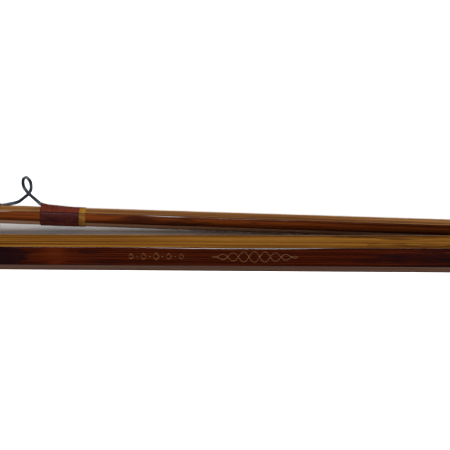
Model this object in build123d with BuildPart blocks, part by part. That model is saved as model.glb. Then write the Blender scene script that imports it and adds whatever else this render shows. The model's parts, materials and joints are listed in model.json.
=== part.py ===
"""Two-piece split-cane fly rod, taken down, with its two sections lying side by side.

Each section is made in a frame of its own: +X runs along the axis towards the thick end, station 0 is the
thin end, and the six flats of the cane face 30, 90, 150 ... degrees round the axis, counted from +Y
towards +Z. Fittings that stand on the guide flat are made upright (+Z) and turned on to it.
Both sections are then laid on the ground (Z = 0) as they rest, and the frame is centred on them.
"""

import os
from math import asin, cos, degrees, radians, sin, sqrt, tan

from build123d import *

# ------------------------------------------------------------------ driving dimensions, millimetres
ROD_LENGTH = 2362.0  # assembled, 7 ft 9 in
SLIDE_LENGTH = 28.0  # how far the male ferrule enters the female
TIP_LENGTH = 1208.0  # tip-top to the end of the male slide
BUTT_LENGTH = ROD_LENGTH - TIP_LENGTH + SLIDE_LENGTH

# Cane: distance across the flats grows evenly along each section.
TIP_CANE = (10.0, 1158.0)
TIP_FLATS_AT_START, TIP_SLOPE = 1.80, 0.00298
BUTT_CANE = (52.0, 1087.0)
BUTT_FLATS_AT_START, BUTT_SLOPE = 5.41, 0.0035

# Ferrule
FERRULE_BORE_R, FERRULE_BORE_DEPTH = 2.58, 29.0
FERRULE_CANE_R = 2.75  # the cane's turned end and the ferrule's inside there
FEMALE_LENGTH, FEMALE_R = 52.0, 3.00
FEATHERED, FEATHER_WALL = 8.0, 0.14  # a ferrule thins to this wall over its last millimetres
WELT_LENGTH, WELT_R = 3.0, 3.60
WATER_STOP = 1.5
MALE_BARREL_END = 1180.0
MALE_BARREL_R, MALE_CANE_R, MALE_SLIDE_R = 2.95, 2.30, 2.55

# Thread windings
THREAD = 0.20
WRAP_LENGTH, BAND_LENGTH = 10.2, 1.7  # beside a guide of size 1
BAND_THREAD = 0.18
BUTT_FERRULE_WRAP = (43.0, 62.0)
TIP_FERRULE_WRAP = (1168.0, 1147.0)
TIP_TOP_WRAP_END, TIP_TOP_BAND_LENGTH = 22.0, 1.2

# Guides: stations of their middles and their size, where 1 is a loop 8.3 mm high
TIP_GUIDES = (
    (120.0, 0.62), (265.0, 0.68), (430.0, 0.76), (610.0, 0.86), (800.0, 1.0), (965.0, 1.04), (1120.0, 1.1),
)
BUTT_GUIDES = ((130.0, 1.15), (310.0, 1.25))
GUIDE_FLAT = 30.0  # degrees round the axis
GUIDE_TURN = 13.0  # the guides are set this far round from the middle of their flat
LEAN_BACK = 0.08  # and their loops lean towards the tip, this much for each unit of height
FOOT_END, FOOT_START = 12.6, 5.2
FOOT_HEIGHT, FOOT_TIP_HEIGHT = 0.74, 0.14
WRAP_STARTS = (-6.6, 3.6)  # where the windings begin, before and after a guide's middle
GLUE_GAP = 0.03
STRIPPING_STATION = 485.0
STRIPPING_RING_R, STRIPPING_RING_WALL, STRIPPING_CENTRE = 4.1, 1.25, 10.8
STRIPPING_WRAP = (9.6, 23.0)  # the winding over each foot, from the guide's middle
STRIPPING_FOOT_END = 19.2

# The wire of a snake guide of size 1, from its middle to one foot: (along the rod, towards the near side, up)
HALF_LOOP = (
    (-0.15, 0.75, 7.95), (-0.80, 2.05, 7.20), (-0.90, 2.55, 5.40), (-0.25, 2.50, 4.00),
    (1.15, 1.50, 2.70), (2.65, 0.42, 1.60), (3.80, 0.02, 0.60),
)

# Tip-top
TIP_TOP_R = 1.15
TIP_RING_R, TIP_WIRE_R, TIP_RING_LEAN = 2.2, 0.38, 35.0

# Hook keeper
KEEPER_STATION = 894.0
KEEPER_RING_R, KEEPER_WIRE_R, KEEPER_PIVOT = 3.2, 0.45, 1.15
STRIP_THICKNESS, STRIP_WIDTH, TUNNEL_R, KEEPER_REACH = 0.35, 1.6, 0.65, 9.0
KEEPER_WRAP = (1.9, 11.0)

# Grip and reel seat
CHECK = (922.0, 927.0)
GRIP = (927.0, 1087.0)
CORK_RINGS = 13
GRIP_BELLY_STATION, GRIP_BELLY_R = 1014.0, 13.0
GRIP_PROFILE = (  # (share of the grip's length, radius)
    (0.0, 7.9), (0.09, 9.0), (0.32, 11.6), (0.545, GRIP_BELLY_R), (0.76, 12.3), (0.92, 10.9), (1.0, 10.5),
)
CHECK_NOSE_R, CHECK_R = 7.35, 8.1
COLLAR, COLLAR_R = (1087.0, 1090.0), 10.9
BARREL = (1090.0, 1108.0)
NUT, NUT_R, NUT_FLUTES = (1091.0, 1098.0), 10.8, 36
HOOD = (1098.0, 1112.0)
CAP = (1156.0, BUTT_LENGTH)
BARREL_BORE_R, THREAD_CREST_R, THREAD_ROOT_R, THREAD_PITCH = 7.6, 8.75, 8.40, 1.0
SPACER_R, SPACER_BORE_R, MORTISE = 8.4, 4.05, 7.4
SEAT_TENON_R, SEAT_TENON_END = 4.0, 1178.0
HOOD_BORE_R, HOOD_R = 8.85, 10.2
POCKET_WIDTH, POCKET_ROOF, POCKET_FLOOR, POCKET_WALL = 14.6, 11.9, 5.0, 1.0
POCKET_CORNER_R, COVER_CORNER_R = 1.6, 2.4
HOOD_RIM, CAP_POCKET_DEPTH = 3.0, 10.0

# How the sections lie: the tip section's fifth guide is beside this butt station, this far behind its axis.
BESIDE_STATION, BESIDE_GAP = 740.2, 28.33
BESIDE_GUIDE = 4
TIP_YAW = -2.298
BUTT_ROLL, TIP_ROLL = 8.5, 3.0
TIP_REST_STATIONS = (6.0, 1164.0)  # where the tip section touches the ground

os.makedirs("parts", exist_ok=True)
upright = Rotation(GUIDE_FLAT - 90, 0, 0)  # turns a fitting made upright on to the guide flat


def tip_flats(station):
    return TIP_FLATS_AT_START + TIP_SLOPE * (station - TIP_CANE[0])


def butt_flats(station):
    return BUTT_FLATS_AT_START + BUTT_SLOPE * (station - BUTT_CANE[0])


def polar(radius, angle):
    """A sketch point at this angle, in degrees."""
    return (radius * cos(radians(angle)), radius * sin(radians(angle)))


def hexagon(flats, first=0.0):
    """The six corners of a hexagon this far across its flats."""
    return [polar(flats / sqrt(3), first + 60 * k) for k in range(6)]


# ------------------------------------------------------------------ cane
def cane_strip(index, span, flats, tenons):
    """One of a section's six glued strips: a tapered triangle whose inner edge is the axis.

    tenons are (start, end, radius) of the lengths that are turned round to enter a fitting.
    """
    flat = GUIDE_FLAT + 60 * index
    with BuildPart() as strip:
        for station in span:
            corner = flats(station) / sqrt(3)
            with BuildSketch(Plane.YZ.offset(station)):
                with BuildLine():
                    Polyline((0, 0), polar(corner, flat - 30), polar(corner, flat + 30), close=True)
                make_face()
        loft(ruled=True)
        for start, end, radius in tenons:
            with BuildSketch(Plane.YZ.offset(start)):
                with BuildLine():
                    Line((0, 0), polar(radius, flat - 30))
                    CenterArc((0, 0), radius, flat - 30, 60)
                    Line(polar(radius, flat + 30), (0, 0))
                make_face()
            extrude(amount=end - start)
    return strip.part


def cane_core(span, flats):
    """The whole hexagonal cane over a span, for cutting what is wound or fitted round it."""
    with BuildPart() as core:
        for station in span:
            with BuildSketch(Plane.YZ.offset(station)):
                with BuildLine():
                    Polyline(*hexagon(flats(station)), close=True)
                make_face()
        loft(ruled=True)
    return core.part


# ------------------------------------------------------------------ thread windings
def foot_height(reach, size):
    """Height of a guide's wire or foot above the flat at this distance from the guide's middle."""
    if reach < FOOT_START * size:
        return FOOT_HEIGHT + 0.36 * (FOOT_START * size - reach) / size
    along = (reach - FOOT_START * size) / ((FOOT_END - FOOT_START) * size)
    return FOOT_HEIGHT - (FOOT_HEIGHT - FOOT_TIP_HEIGHT) * min(along, 1.0)


def wound_outline(flats, thickness, raised, shift, half_width):
    """Corners of thread drawn over a hexagon and over a foot that stands this high on the guide flat."""
    crest = []
    for aside in (shift - half_width, shift + half_width):
        x, y = polar(flats / 2 + thickness + raised, GUIDE_FLAT)
        dx, dy = polar(aside, GUIDE_FLAT + 90)
        crest.append((x + dx, y + dy))
    return [*crest, *hexagon(flats + 2 * thickness, GUIDE_FLAT + 30)]


def wound(start, end, flats, thickness, foot=None, guide=None):
    """Thread wound over the cane from start to end, drawn tight over a guide's foot if there is one.

    foot is (station of the guide's middle, its size). The thread spans from the cane's corners to the foot.
    """
    shift = flats(start) / 2 * tan(radians(GUIDE_TURN))
    stations = [start, end]
    if foot:
        middle, size = foot
        side = 1 if start > middle else -1
        bends = [middle + side * FOOT_START * size, middle + side * FOOT_END * size]
        stations = sorted([start, end] + [bend for bend in bends if start + 0.5 < bend < end - 0.5])
    with BuildPart() as winding:
        for station in stations:
            raised = 0.02
            if foot and abs(station - middle) < FOOT_END * size + 0.01:
                raised = foot_height(abs(station - middle), size) + GLUE_GAP
            with BuildSketch(Plane.YZ.offset(station)):
                with BuildLine():
                    Polyline(*wound_outline(flats(station), thickness, raised, shift, 0.5), close=True)
                make_face()
        loft(ruled=True)
        add(cane_core((start - 1, end + 1), flats), mode=Mode.SUBTRACT)
        if foot:
            add(guide_foot_pocket(middle, size, side, flats), mode=Mode.SUBTRACT)
            add(guide, mode=Mode.SUBTRACT)
    return winding.solids().sort_by(SortBy.VOLUME)[-1]


def guide_foot_pocket(middle, size, side, flats):
    """The space that a guide's foot and the root of its wire take inside the thread."""
    shift = flats(middle) / 2 * tan(radians(GUIDE_TURN))
    base = flats(middle) / 2 - 0.1
    with BuildPart() as pocket:
        heel, toe = FOOT_START * size, FOOT_END * size
        for reach, width in ((heel - 3, 0.98), (heel, 0.96), (toe, 0.80)):
            height = foot_height(reach, size) + 0.17
            with BuildSketch(Plane.YZ.offset(side * reach)):
                with Locations((-shift, base + height / 2)):
                    Rectangle(width, height)
        loft(ruled=True)
    return Pos(middle, 0, 0) * upright * pocket.part


# ------------------------------------------------------------------ guides
def bent_wire(points, radius):
    """Round wire along straight runs, with a bend at each point as large as the shorter run allows."""
    radii = []
    for before, here, after in zip(points, points[1:], points[2:]):
        run_in, run_out = Vector(*here) - Vector(*before), Vector(*after) - Vector(*here)
        half_turn = radians(run_in.get_angle(run_out)) / 2
        radii.append(0.45 * min(run_in.length, run_out.length) / tan(half_turn))
    with BuildPart() as wire:
        with BuildLine() as line:
            FilletPolyline(*points, radius=radii)
        with BuildSketch(Plane(origin=points[0], z_dir=Vector(*points[1]) - Vector(*points[0]))):
            Circle(radius)
        sweep(path=line.wires()[0])
    return wire.part


def snake_guide(station, size, flats):
    """One turn of wire with a foot each side, standing on the guide flat, a little round from its middle."""
    wire_r = 0.30 + 0.05 * size
    lean, base = radians(GUIDE_TURN), flats(station) / 2 + GLUE_GAP
    shift = flats(station) / 2 * tan(lean)
    # one half of the loop is the other turned about
    near = [(a * size, w * size, h * size) for a, w, h in HALF_LOOP]
    near += [(FOOT_START * size, 0.0, wire_r + 0.01), ((FOOT_START + 1.2) * size, 0.0, wire_r)]
    far = [(-a, -w, h) for a, w, h in reversed(near)]
    points = [
        (a - LEAN_BACK * max(h - wire_r, 0), -(w * cos(lean) + h * sin(lean)) - shift,
         h * cos(lean) - w * sin(lean) + base)
        for a, w, h in far + near
    ]
    with BuildPart() as guide:
        add(bent_wire(points, wire_r))
        for side in (-1, 1):
            heel, toe = (FOOT_START, 0.72, 0.66), (FOOT_END - 0.1, 0.60, 0.12)
            for reach, width, height in (heel, (8.4, 0.80, 0.42), toe):
                with BuildSketch(Plane.YZ.offset(side * reach * size)):
                    with Locations((-shift - 0.06, base + height / 2)):
                        Rectangle(width, height)
            loft(ruled=True)
    return Pos(station, 0, 0) * upright * guide.part


def snake_windings(station, size, flats, guide):
    """The two windings over a snake guide's feet, and the gold band that ends each."""
    wraps, bands = [], []
    for side, begin in zip((-1, 1), WRAP_STARTS):
        near, far = station + begin * size, station + (begin + side * WRAP_LENGTH) * size
        start, end = sorted((near, far))
        wraps.append(wound(start, end, flats, THREAD, (station, size), guide))
        start, end = sorted((far, far + side * BAND_LENGTH))
        bands.append(wound(start, end, flats, BAND_THREAD))
    return wraps, bands


def stripping_frame(station, flats):
    """Bent-wire frame of the stripping guide, with the band that holds its ring."""
    base = flats(station + 20) / 2 + GLUE_GAP
    centre = flats(station) / 2 + STRIPPING_CENTRE
    with BuildPart() as frame:
        with BuildSketch(Plane.YZ.offset(-0.9)):
            with Locations((0, centre)):
                Circle(STRIPPING_RING_R + STRIPPING_RING_WALL + 0.55)
                Circle(STRIPPING_RING_R + STRIPPING_RING_WALL, mode=Mode.SUBTRACT)
        extrude(amount=1.8)
        for side in (-1, 1):
            for hand in (-1, 1):
                grip_y, grip_z = polar(STRIPPING_RING_R + 1.75, 90 + hand * 118)
                points = ((0.2 * side, grip_y, centre + grip_z), (2.6 * side, grip_y * 0.84, base + 4.4),
                          (6.2 * side, grip_y * 0.28, base + 1.6), (9.4 * side, 0.38 * -hand, base + 0.53),
                          (11.5 * side, 0.38 * -hand, base + 0.52))
                add(bent_wire(points, 0.5))
            for reach, width, height in ((9.2, 1.75, 1.02), (13.0, 1.80, 0.60), (19.0, 1.10, 0.16)):
                with BuildSketch(Plane.YZ.offset(side * reach)):
                    with Locations((0, base + height / 2)):
                        Rectangle(width, height)
            loft(ruled=True)
    return Pos(station, 0, 0) * upright * frame.part


def stripping_ring(station, flats):
    """The hard ring the line runs through, rounded inside."""
    centre = flats(station) / 2 + STRIPPING_CENTRE
    with BuildPart() as ring:
        with BuildSketch(Plane.XZ):
            with BuildLine():
                outer, inner, half = STRIPPING_RING_R + STRIPPING_RING_WALL, STRIPPING_RING_R, 1.3
                lip = centre + inner + 0.7
                Line((-half, centre + outer), (half, centre + outer))
                Line((half, centre + outer), (half, lip))
                ThreePointArc((half, lip), (0, centre + inner), (-half, lip))
                Line((-half, lip), (-half, centre + outer))
            make_face()
        revolve(axis=Axis((0, 0, centre), (1, 0, 0)))
    return Pos(station, 0, 0) * upright * ring.part


def stripping_foot_pocket(station, side, flats):
    """The space that one of the stripping guide's feet takes inside the thread."""
    base = flats(station) / 2 - 0.1
    with BuildPart() as pocket:
        for reach, width, height in ((9.0, 1.95, 1.42), (13.0, 1.95, 0.86), (STRIPPING_FOOT_END, 1.2, 0.34)):
            with BuildSketch(Plane.YZ.offset(side * reach)):
                with Locations((0, base + height / 2)):
                    Rectangle(width, height)
        loft(ruled=True)
    return Pos(station, 0, 0) * upright * pocket.part


def stripping_winding(station, side, flats, frame):
    """Thread over one of the stripping guide's feet."""
    start, end = sorted(station + side * reach for reach in STRIPPING_WRAP)
    with BuildPart() as winding:
        for at in sorted((start, station + side * STRIPPING_FOOT_END, end)):
            raised = max(1.02 - 0.1 * (abs(at - station) - 9.2), 0.02)
            with BuildSketch(Plane.YZ.offset(at)):
                with BuildLine():
                    Polyline(*wound_outline(flats(at), THREAD, raised, 0.0, 0.95), close=True)
                make_face()
        loft(ruled=True)
        add(cane_core((start - 1, end + 1), flats), mode=Mode.SUBTRACT)
        add(stripping_foot_pocket(station, side, flats), mode=Mode.SUBTRACT)
        add(frame, mode=Mode.SUBTRACT)
    return winding.solids().sort_by(SortBy.VOLUME)[-1]


# ------------------------------------------------------------------ laying the sections down
butt_pitch = degrees(asin((GRIP_BELLY_R - WELT_R) / (GRIP_BELLY_STATION - WELT_LENGTH / 2)))
front_rest, back_rest = TIP_REST_STATIONS
tip_pitch = degrees(asin((MALE_BARREL_R + THREAD - TIP_TOP_R) / (back_rest - front_rest)))

butt_rise = WELT_R / cos(radians(butt_pitch)) - WELT_LENGTH / 2 * tan(radians(butt_pitch))
butt_place = Pos(0, 0, butt_rise) * Rotation(0, -butt_pitch, 0) * Rotation(BUTT_ROLL, 0, 0)

tip_rise = TIP_TOP_R / cos(radians(tip_pitch)) - front_rest * tan(radians(tip_pitch))
guide_x = TIP_GUIDES[BESIDE_GUIDE][0]
tip_x = BESIDE_STATION * cos(radians(butt_pitch)) - guide_x * cos(radians(TIP_YAW))
tip_y = BESIDE_GAP - guide_x * sin(radians(TIP_YAW))
tip_lie = Rotation(0, 0, TIP_YAW) * Rotation(0, -tip_pitch, 0) * Rotation(TIP_ROLL, 0, 0)
tip_place = Pos(tip_x, tip_y, tip_rise) * tip_lie

pieces = {}


def keep(name, place, *solids):
    """Lays a finished piece down with its section; several solids share one named piece."""
    laid = [place * one for solid in solids for one in solid.solids()]
    pieces[name] = Part(children=laid) if len(laid) > 1 else laid[0]
    pieces[name].label = name


# ------------------------------------------------------------------ butt section: cane and ferrule
for k in range(6):
    tenons = (
        (FERRULE_BORE_DEPTH + WATER_STOP, BUTT_CANE[0], FERRULE_CANE_R),
        (BUTT_CANE[1], SEAT_TENON_END, SEAT_TENON_R),
    )
    keep(f"butt_cane_strip_{k + 1}", butt_place, cane_strip(k, BUTT_CANE, butt_flats, tenons))

with BuildPart() as female_ferrule:
    with BuildSketch(Plane.XZ):
        with BuildLine():
            Polyline(
                (0, FERRULE_BORE_R), (0, FEMALE_R), (FEMALE_LENGTH - FEATHERED, FEMALE_R),
                (FEMALE_LENGTH, FERRULE_CANE_R + FEATHER_WALL), (FEMALE_LENGTH, FERRULE_CANE_R),
                (FERRULE_BORE_DEPTH, FERRULE_CANE_R), (FERRULE_BORE_DEPTH, FERRULE_BORE_R), close=True,
            )
        make_face()
    revolve(axis=Axis.X)
    for k in range(3):  # three cuts through make six springy tabs under the thread
        with BuildSketch(Plane.YZ.offset(FEMALE_LENGTH - 6)):
            Rectangle(2 * FEMALE_R, 0.4, rotation=60 * k)
        extrude(amount=6, mode=Mode.SUBTRACT)
keep("female_ferrule", butt_place, female_ferrule.part)

with BuildPart() as ferrule_welt:
    with BuildSketch(Plane.XZ):
        with Locations((WELT_LENGTH / 2, (WELT_R + FEMALE_R) / 2)):
            Rectangle(WELT_LENGTH, WELT_R - FEMALE_R)
    revolve(axis=Axis.X)
    fillet(ferrule_welt.edges().filter_by(GeomType.CIRCLE).group_by(SortBy.RADIUS)[-1], 0.25)
keep("ferrule_welt", butt_place, ferrule_welt.part)

with BuildPart() as water_stop:
    with BuildSketch(Plane.YZ.offset(FERRULE_BORE_DEPTH)):
        Circle(FERRULE_CANE_R)
    extrude(amount=WATER_STOP)
keep("water_stop", butt_place, water_stop.part)


def ferrule_winding(start, join, end, radius_out, tool, flats):
    """Thread over a ferrule's tabbed end and on to the cane: round over the metal, six-sided beyond."""
    over_cane = (join, end + 1.0) if end > join else (end - 1.0, join)
    with BuildPart() as winding:
        with BuildSketch(Plane.YZ.offset(start)):
            Circle(radius_out)
        with BuildSketch(Plane.YZ.offset(join)):
            Circle(radius_out)
        loft(ruled=True)
        with BuildSketch(Plane.YZ.offset(join)):
            with BuildLine():
                Polyline(*hexagon(flats(join) + 2 * THREAD), close=True)
            make_face()
        with BuildSketch(Plane.YZ.offset(end)):
            with BuildLine():
                Polyline(*hexagon(flats(end) + 2 * THREAD), close=True)
            make_face()
        loft(ruled=True)
        add(cane_core(over_cane, flats), mode=Mode.SUBTRACT)
        add(tool, mode=Mode.SUBTRACT)
    return winding.part


with BuildPart() as female_solid:
    with BuildSketch(Plane.XZ):
        with BuildLine():
            Polyline(
                (0, 0), (0, FEMALE_R), (FEMALE_LENGTH - FEATHERED, FEMALE_R),
                (FEMALE_LENGTH, FERRULE_CANE_R + FEATHER_WALL), (FEMALE_LENGTH, 0), close=True,
            )
        make_face()
    revolve(axis=Axis.X)
wrap_start, wrap_end = BUTT_FERRULE_WRAP
keep("butt_ferrule_wrap", butt_place,
     ferrule_winding(wrap_start, FEMALE_LENGTH, wrap_end, FEMALE_R + THREAD, female_solid.part, butt_flats))

# ------------------------------------------------------------------ butt section: guides
butt_bands = [wound(wrap_end, wrap_end + BAND_LENGTH, butt_flats, BAND_THREAD)]
for number, (station, size) in enumerate(BUTT_GUIDES, 1):
    guide = snake_guide(station, size, butt_flats)
    keep(f"butt_snake_guide_{number}", butt_place, guide)
    wraps, bands = snake_windings(station, size, butt_flats, guide)
    keep(f"butt_guide_{number}_wraps", butt_place, *wraps)
    butt_bands += bands

frame = stripping_frame(STRIPPING_STATION, butt_flats)
keep("stripping_guide_frame", butt_place, frame)
keep("stripping_guide_ring", butt_place, stripping_ring(STRIPPING_STATION, butt_flats))
keep("stripping_guide_wraps", butt_place,
     *(stripping_winding(STRIPPING_STATION, side, butt_flats, frame) for side in (-1, 1)))
for side in (-1, 1):
    wrap_end = STRIPPING_STATION + side * STRIPPING_WRAP[1]
    start, end = sorted((wrap_end, wrap_end + side * BAND_LENGTH))
    butt_bands.append(wound(start, end, butt_flats, BAND_THREAD))

# ------------------------------------------------------------------ butt section: hook keeper
keeper_base = butt_flats(KEEPER_STATION) / 2 + GLUE_GAP
with BuildPart() as keeper_saddle:
    with BuildSketch(Plane.XZ):
        with Locations((0, keeper_base + STRIP_THICKNESS / 2)):
            Rectangle(2 * KEEPER_REACH, STRIP_THICKNESS)
        with Locations((0, keeper_base + KEEPER_PIVOT)):
            Circle(TUNNEL_R + STRIP_THICKNESS)
        with Locations((0, keeper_base + KEEPER_PIVOT / 2)):
            Rectangle(2 * (TUNNEL_R + STRIP_THICKNESS), KEEPER_PIVOT)
        with Locations((0, keeper_base + KEEPER_PIVOT)):
            Circle(TUNNEL_R, mode=Mode.SUBTRACT)
        with Locations((0, keeper_base + KEEPER_PIVOT / 2 - 0.2)):
            Rectangle(2 * TUNNEL_R - 0.02, KEEPER_PIVOT + 0.4, mode=Mode.SUBTRACT)
    extrude(amount=STRIP_WIDTH / 2, both=True)
keep("keeper_saddle", butt_place, Pos(KEEPER_STATION, 0, 0) * upright * keeper_saddle.part)

with BuildPart() as keeper_ring:
    with BuildSketch(Plane.XZ):
        with Locations((0, keeper_base + KEEPER_PIVOT)):
            Circle(KEEPER_WIRE_R)
    revolve(axis=Axis((-KEEPER_RING_R, 0, keeper_base + KEEPER_PIVOT), (0, 0, 1)))
keep("keeper_ring", butt_place, Pos(KEEPER_STATION, 0, 0) * upright * keeper_ring.part)

with BuildPart() as keeper_pocket:
    with BuildSketch(Plane.YZ.offset(-KEEPER_REACH - 0.05)):
        with Locations((0, keeper_base + STRIP_THICKNESS / 2 - 0.1)):
            Rectangle(STRIP_WIDTH + 0.06, STRIP_THICKNESS + 0.24)
    extrude(amount=2 * KEEPER_REACH + 0.1)

keeper_wraps = []
for side in (-1, 1):
    start, end = sorted(KEEPER_STATION + side * reach for reach in KEEPER_WRAP)
    with BuildPart() as keeper_wrap:
        for at in (start, end):
            raised = STRIP_THICKNESS + 0.05
            with BuildSketch(Plane.YZ.offset(at)):
                with BuildLine():
                    Polyline(*wound_outline(butt_flats(at), THREAD, raised, 0.0, 0.85), close=True)
                make_face()
        loft(ruled=True)
        add(cane_core((start - 1, end + 1), butt_flats), mode=Mode.SUBTRACT)
        add(Pos(KEEPER_STATION, 0, 0) * upright * keeper_pocket.part, mode=Mode.SUBTRACT)
    keeper_wraps.append(keeper_wrap.part)
keep("keeper_wraps", butt_place, *keeper_wraps)
keep("butt_gold_bands", butt_place, *butt_bands)

# ------------------------------------------------------------------ butt section: grip
with BuildPart() as winding_check:
    with BuildSketch(Plane.XZ):
        with BuildLine():
            check_bore = butt_flats(CHECK[1]) / sqrt(3) + 0.05
            Polyline((CHECK[1], check_bore), (CHECK[0], check_bore), (CHECK[0], check_bore + 0.5))
            ThreePointArc((CHECK[0], check_bore + 0.5), (CHECK[0] + 2.2, CHECK_NOSE_R), (CHECK[1], CHECK_R))
            Line((CHECK[1], CHECK_R), (CHECK[1], check_bore))
        make_face()
    revolve(axis=Axis.X)
keep("winding_check", butt_place, winding_check.part)

grip_bore = butt_flats(GRIP[1]) / sqrt(3) + 0.02
cork_rings = []
for k in range(CORK_RINGS):
    ring_start = GRIP[0] + (GRIP[1] - GRIP[0]) * k / CORK_RINGS
    with BuildPart() as cork_ring:
        with BuildSketch(Plane.XZ):
            with BuildLine():
                outline = [(GRIP[0] + (GRIP[1] - GRIP[0]) * share, radius) for share, radius in GRIP_PROFILE]
                Spline(*outline)
                Polyline(outline[-1], (GRIP[1], grip_bore), (GRIP[0], grip_bore), outline[0])
            make_face()
        revolve(axis=Axis.X)
        with BuildSketch(Plane.YZ.offset(ring_start)):
            Circle(20)
        extrude(amount=(GRIP[1] - GRIP[0]) / CORK_RINGS, mode=Mode.INTERSECT)
    cork_rings.append(cork_ring.part)
keep("cork_grip_rings", butt_place, *cork_rings)

# ------------------------------------------------------------------ butt section: reel seat
with BuildPart() as seat_collar:
    with BuildSketch(Plane.XZ):
        with Locations(((COLLAR[0] + COLLAR[1]) / 2, (COLLAR_R + BARREL_BORE_R) / 2)):
            Rectangle(COLLAR[1] - COLLAR[0], COLLAR_R - BARREL_BORE_R)
    revolve(axis=Axis.X)
    fillet(seat_collar.edges().filter_by(GeomType.CIRCLE).group_by(SortBy.RADIUS)[-1], 0.8)
keep("seat_collar", butt_place, seat_collar.part)

with BuildPart() as reel_seat_spacer:
    with BuildSketch(Plane.XZ):
        with BuildLine():
            neck = BARREL_BORE_R - 0.02
            Polyline(
                (COLLAR[0], SPACER_BORE_R), (COLLAR[0], neck), (BARREL[1], neck), (BARREL[1], SPACER_R),
                (SEAT_TENON_END, SPACER_R), (SEAT_TENON_END, SPACER_BORE_R), close=True,
            )
        make_face()
    revolve(axis=Axis.X)
    pocket_end = CAP[0] + CAP_POCKET_DEPTH
    for start, end, depth in ((BARREL[1] + 1, CAP[0], MORTISE), (CAP[0], pocket_end, MORTISE - 0.1)):
        with BuildSketch(Plane.YZ.offset(start)):
            with Locations((0, depth + 2.5)):
                Rectangle(20, 5)
        extrude(amount=end - start, mode=Mode.SUBTRACT)
keep("reel_seat_spacer", butt_place, upright * reel_seat_spacer.part)

with BuildPart() as threaded_barrel:
    with BuildSketch(Plane.XZ):
        with BuildLine():
            turns = int((BARREL[1] - BARREL[0]) / THREAD_PITCH)
            ridge = [(BARREL[0], THREAD_ROOT_R)]
            for turn in range(turns):
                ridge.append((BARREL[0] + (turn + 0.5) * THREAD_PITCH, THREAD_CREST_R))
                ridge.append((BARREL[0] + (turn + 1.0) * THREAD_PITCH, THREAD_ROOT_R))
            Polyline((BARREL[0], BARREL_BORE_R), *ridge, (BARREL[1], BARREL_BORE_R), close=True)
        make_face()
    revolve(axis=Axis.X)
keep("threaded_barrel", butt_place, threaded_barrel.part)

with BuildPart() as lock_nut:
    with BuildSketch(Plane.XZ):
        with Locations(((NUT[0] + NUT[1]) / 2 - 0.02, (NUT_R + THREAD_CREST_R + 0.06) / 2)):
            Rectangle(NUT[1] - NUT[0] - 0.04, NUT_R - THREAD_CREST_R - 0.06)
    revolve(axis=Axis.X)
    chamfer(lock_nut.edges().filter_by(GeomType.CIRCLE).group_by(SortBy.RADIUS)[-1], 0.5)
    with BuildSketch(Plane.YZ.offset(NUT[0] + 1)):
        with PolarLocations(NUT_R + 0.25, NUT_FLUTES):
            Circle(0.5)
    extrude(amount=NUT[1] - NUT[0] - 2, mode=Mode.SUBTRACT)
keep("lock_nut", butt_place, lock_nut.part)


def foot_cover(start, end, round_r, roof):
    """Outline of a hood or cap: a circle with a flat-topped hump on the reel side, drawn along the rod."""
    with BuildPart() as cover:
        with BuildSketch(Plane.YZ.offset(start)):
            Circle(round_r)
            with Locations((0, roof / 2)):
                RectangleRounded(POCKET_WIDTH + 2 * POCKET_WALL, roof, COVER_CORNER_R)
        extrude(amount=end - start)
    return cover.part


with BuildPart() as sliding_hood:
    add(foot_cover(HOOD[0], HOOD[1], HOOD_R, POCKET_ROOF + POCKET_WALL))
    fillet(sliding_hood.faces().sort_by(Axis.X)[0].outer_wire().edges(), 0.6)
    with BuildSketch(Plane.YZ.offset(HOOD[0])):
        Circle(HOOD_BORE_R)
    extrude(amount=HOOD[1] - HOOD[0], mode=Mode.SUBTRACT)
    with BuildSketch(Plane.YZ.offset(HOOD[0] + HOOD_RIM)):
        with Locations((0, (POCKET_ROOF + POCKET_FLOOR) / 2)):
            RectangleRounded(POCKET_WIDTH, POCKET_ROOF - POCKET_FLOOR, POCKET_CORNER_R)
    extrude(amount=HOOD[1] - HOOD[0] - HOOD_RIM, mode=Mode.SUBTRACT)
keep("sliding_hood", butt_place, upright * sliding_hood.part)

with BuildPart() as butt_cap:
    add(foot_cover(CAP[0], CAP[0] + CAP_POCKET_DEPTH + 2, HOOD_R, POCKET_ROOF + POCKET_WALL))
    with BuildSketch(Plane.YZ.offset(CAP[0] + CAP_POCKET_DEPTH + 2)):
        Circle(HOOD_R)
    extrude(amount=CAP[1] - CAP[0] - CAP_POCKET_DEPTH - 2)
    fillet(butt_cap.faces().sort_by(Axis.X)[-1].outer_wire().edges(), 2.4)
    with BuildSketch(Plane.YZ.offset(CAP[0])):
        Circle(SPACER_R + 0.02)
    extrude(amount=SEAT_TENON_END + 0.02 - CAP[0], mode=Mode.SUBTRACT)
    with BuildSketch(Plane.YZ.offset(CAP[0])):
        with Locations((0, (POCKET_ROOF + POCKET_FLOOR) / 2)):
            RectangleRounded(POCKET_WIDTH, POCKET_ROOF - POCKET_FLOOR, POCKET_CORNER_R)
    extrude(amount=CAP_POCKET_DEPTH, mode=Mode.SUBTRACT)
keep("butt_cap", butt_place, upright * butt_cap.part)

# ------------------------------------------------------------------ tip section
for k in range(6):
    tenons = ((2.6, TIP_CANE[0], 0.80), (TIP_CANE[1], MALE_BARREL_END, MALE_CANE_R))
    keep(f"tip_cane_strip_{k + 1}", tip_place, cane_strip(k, TIP_CANE, tip_flats, tenons))

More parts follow.
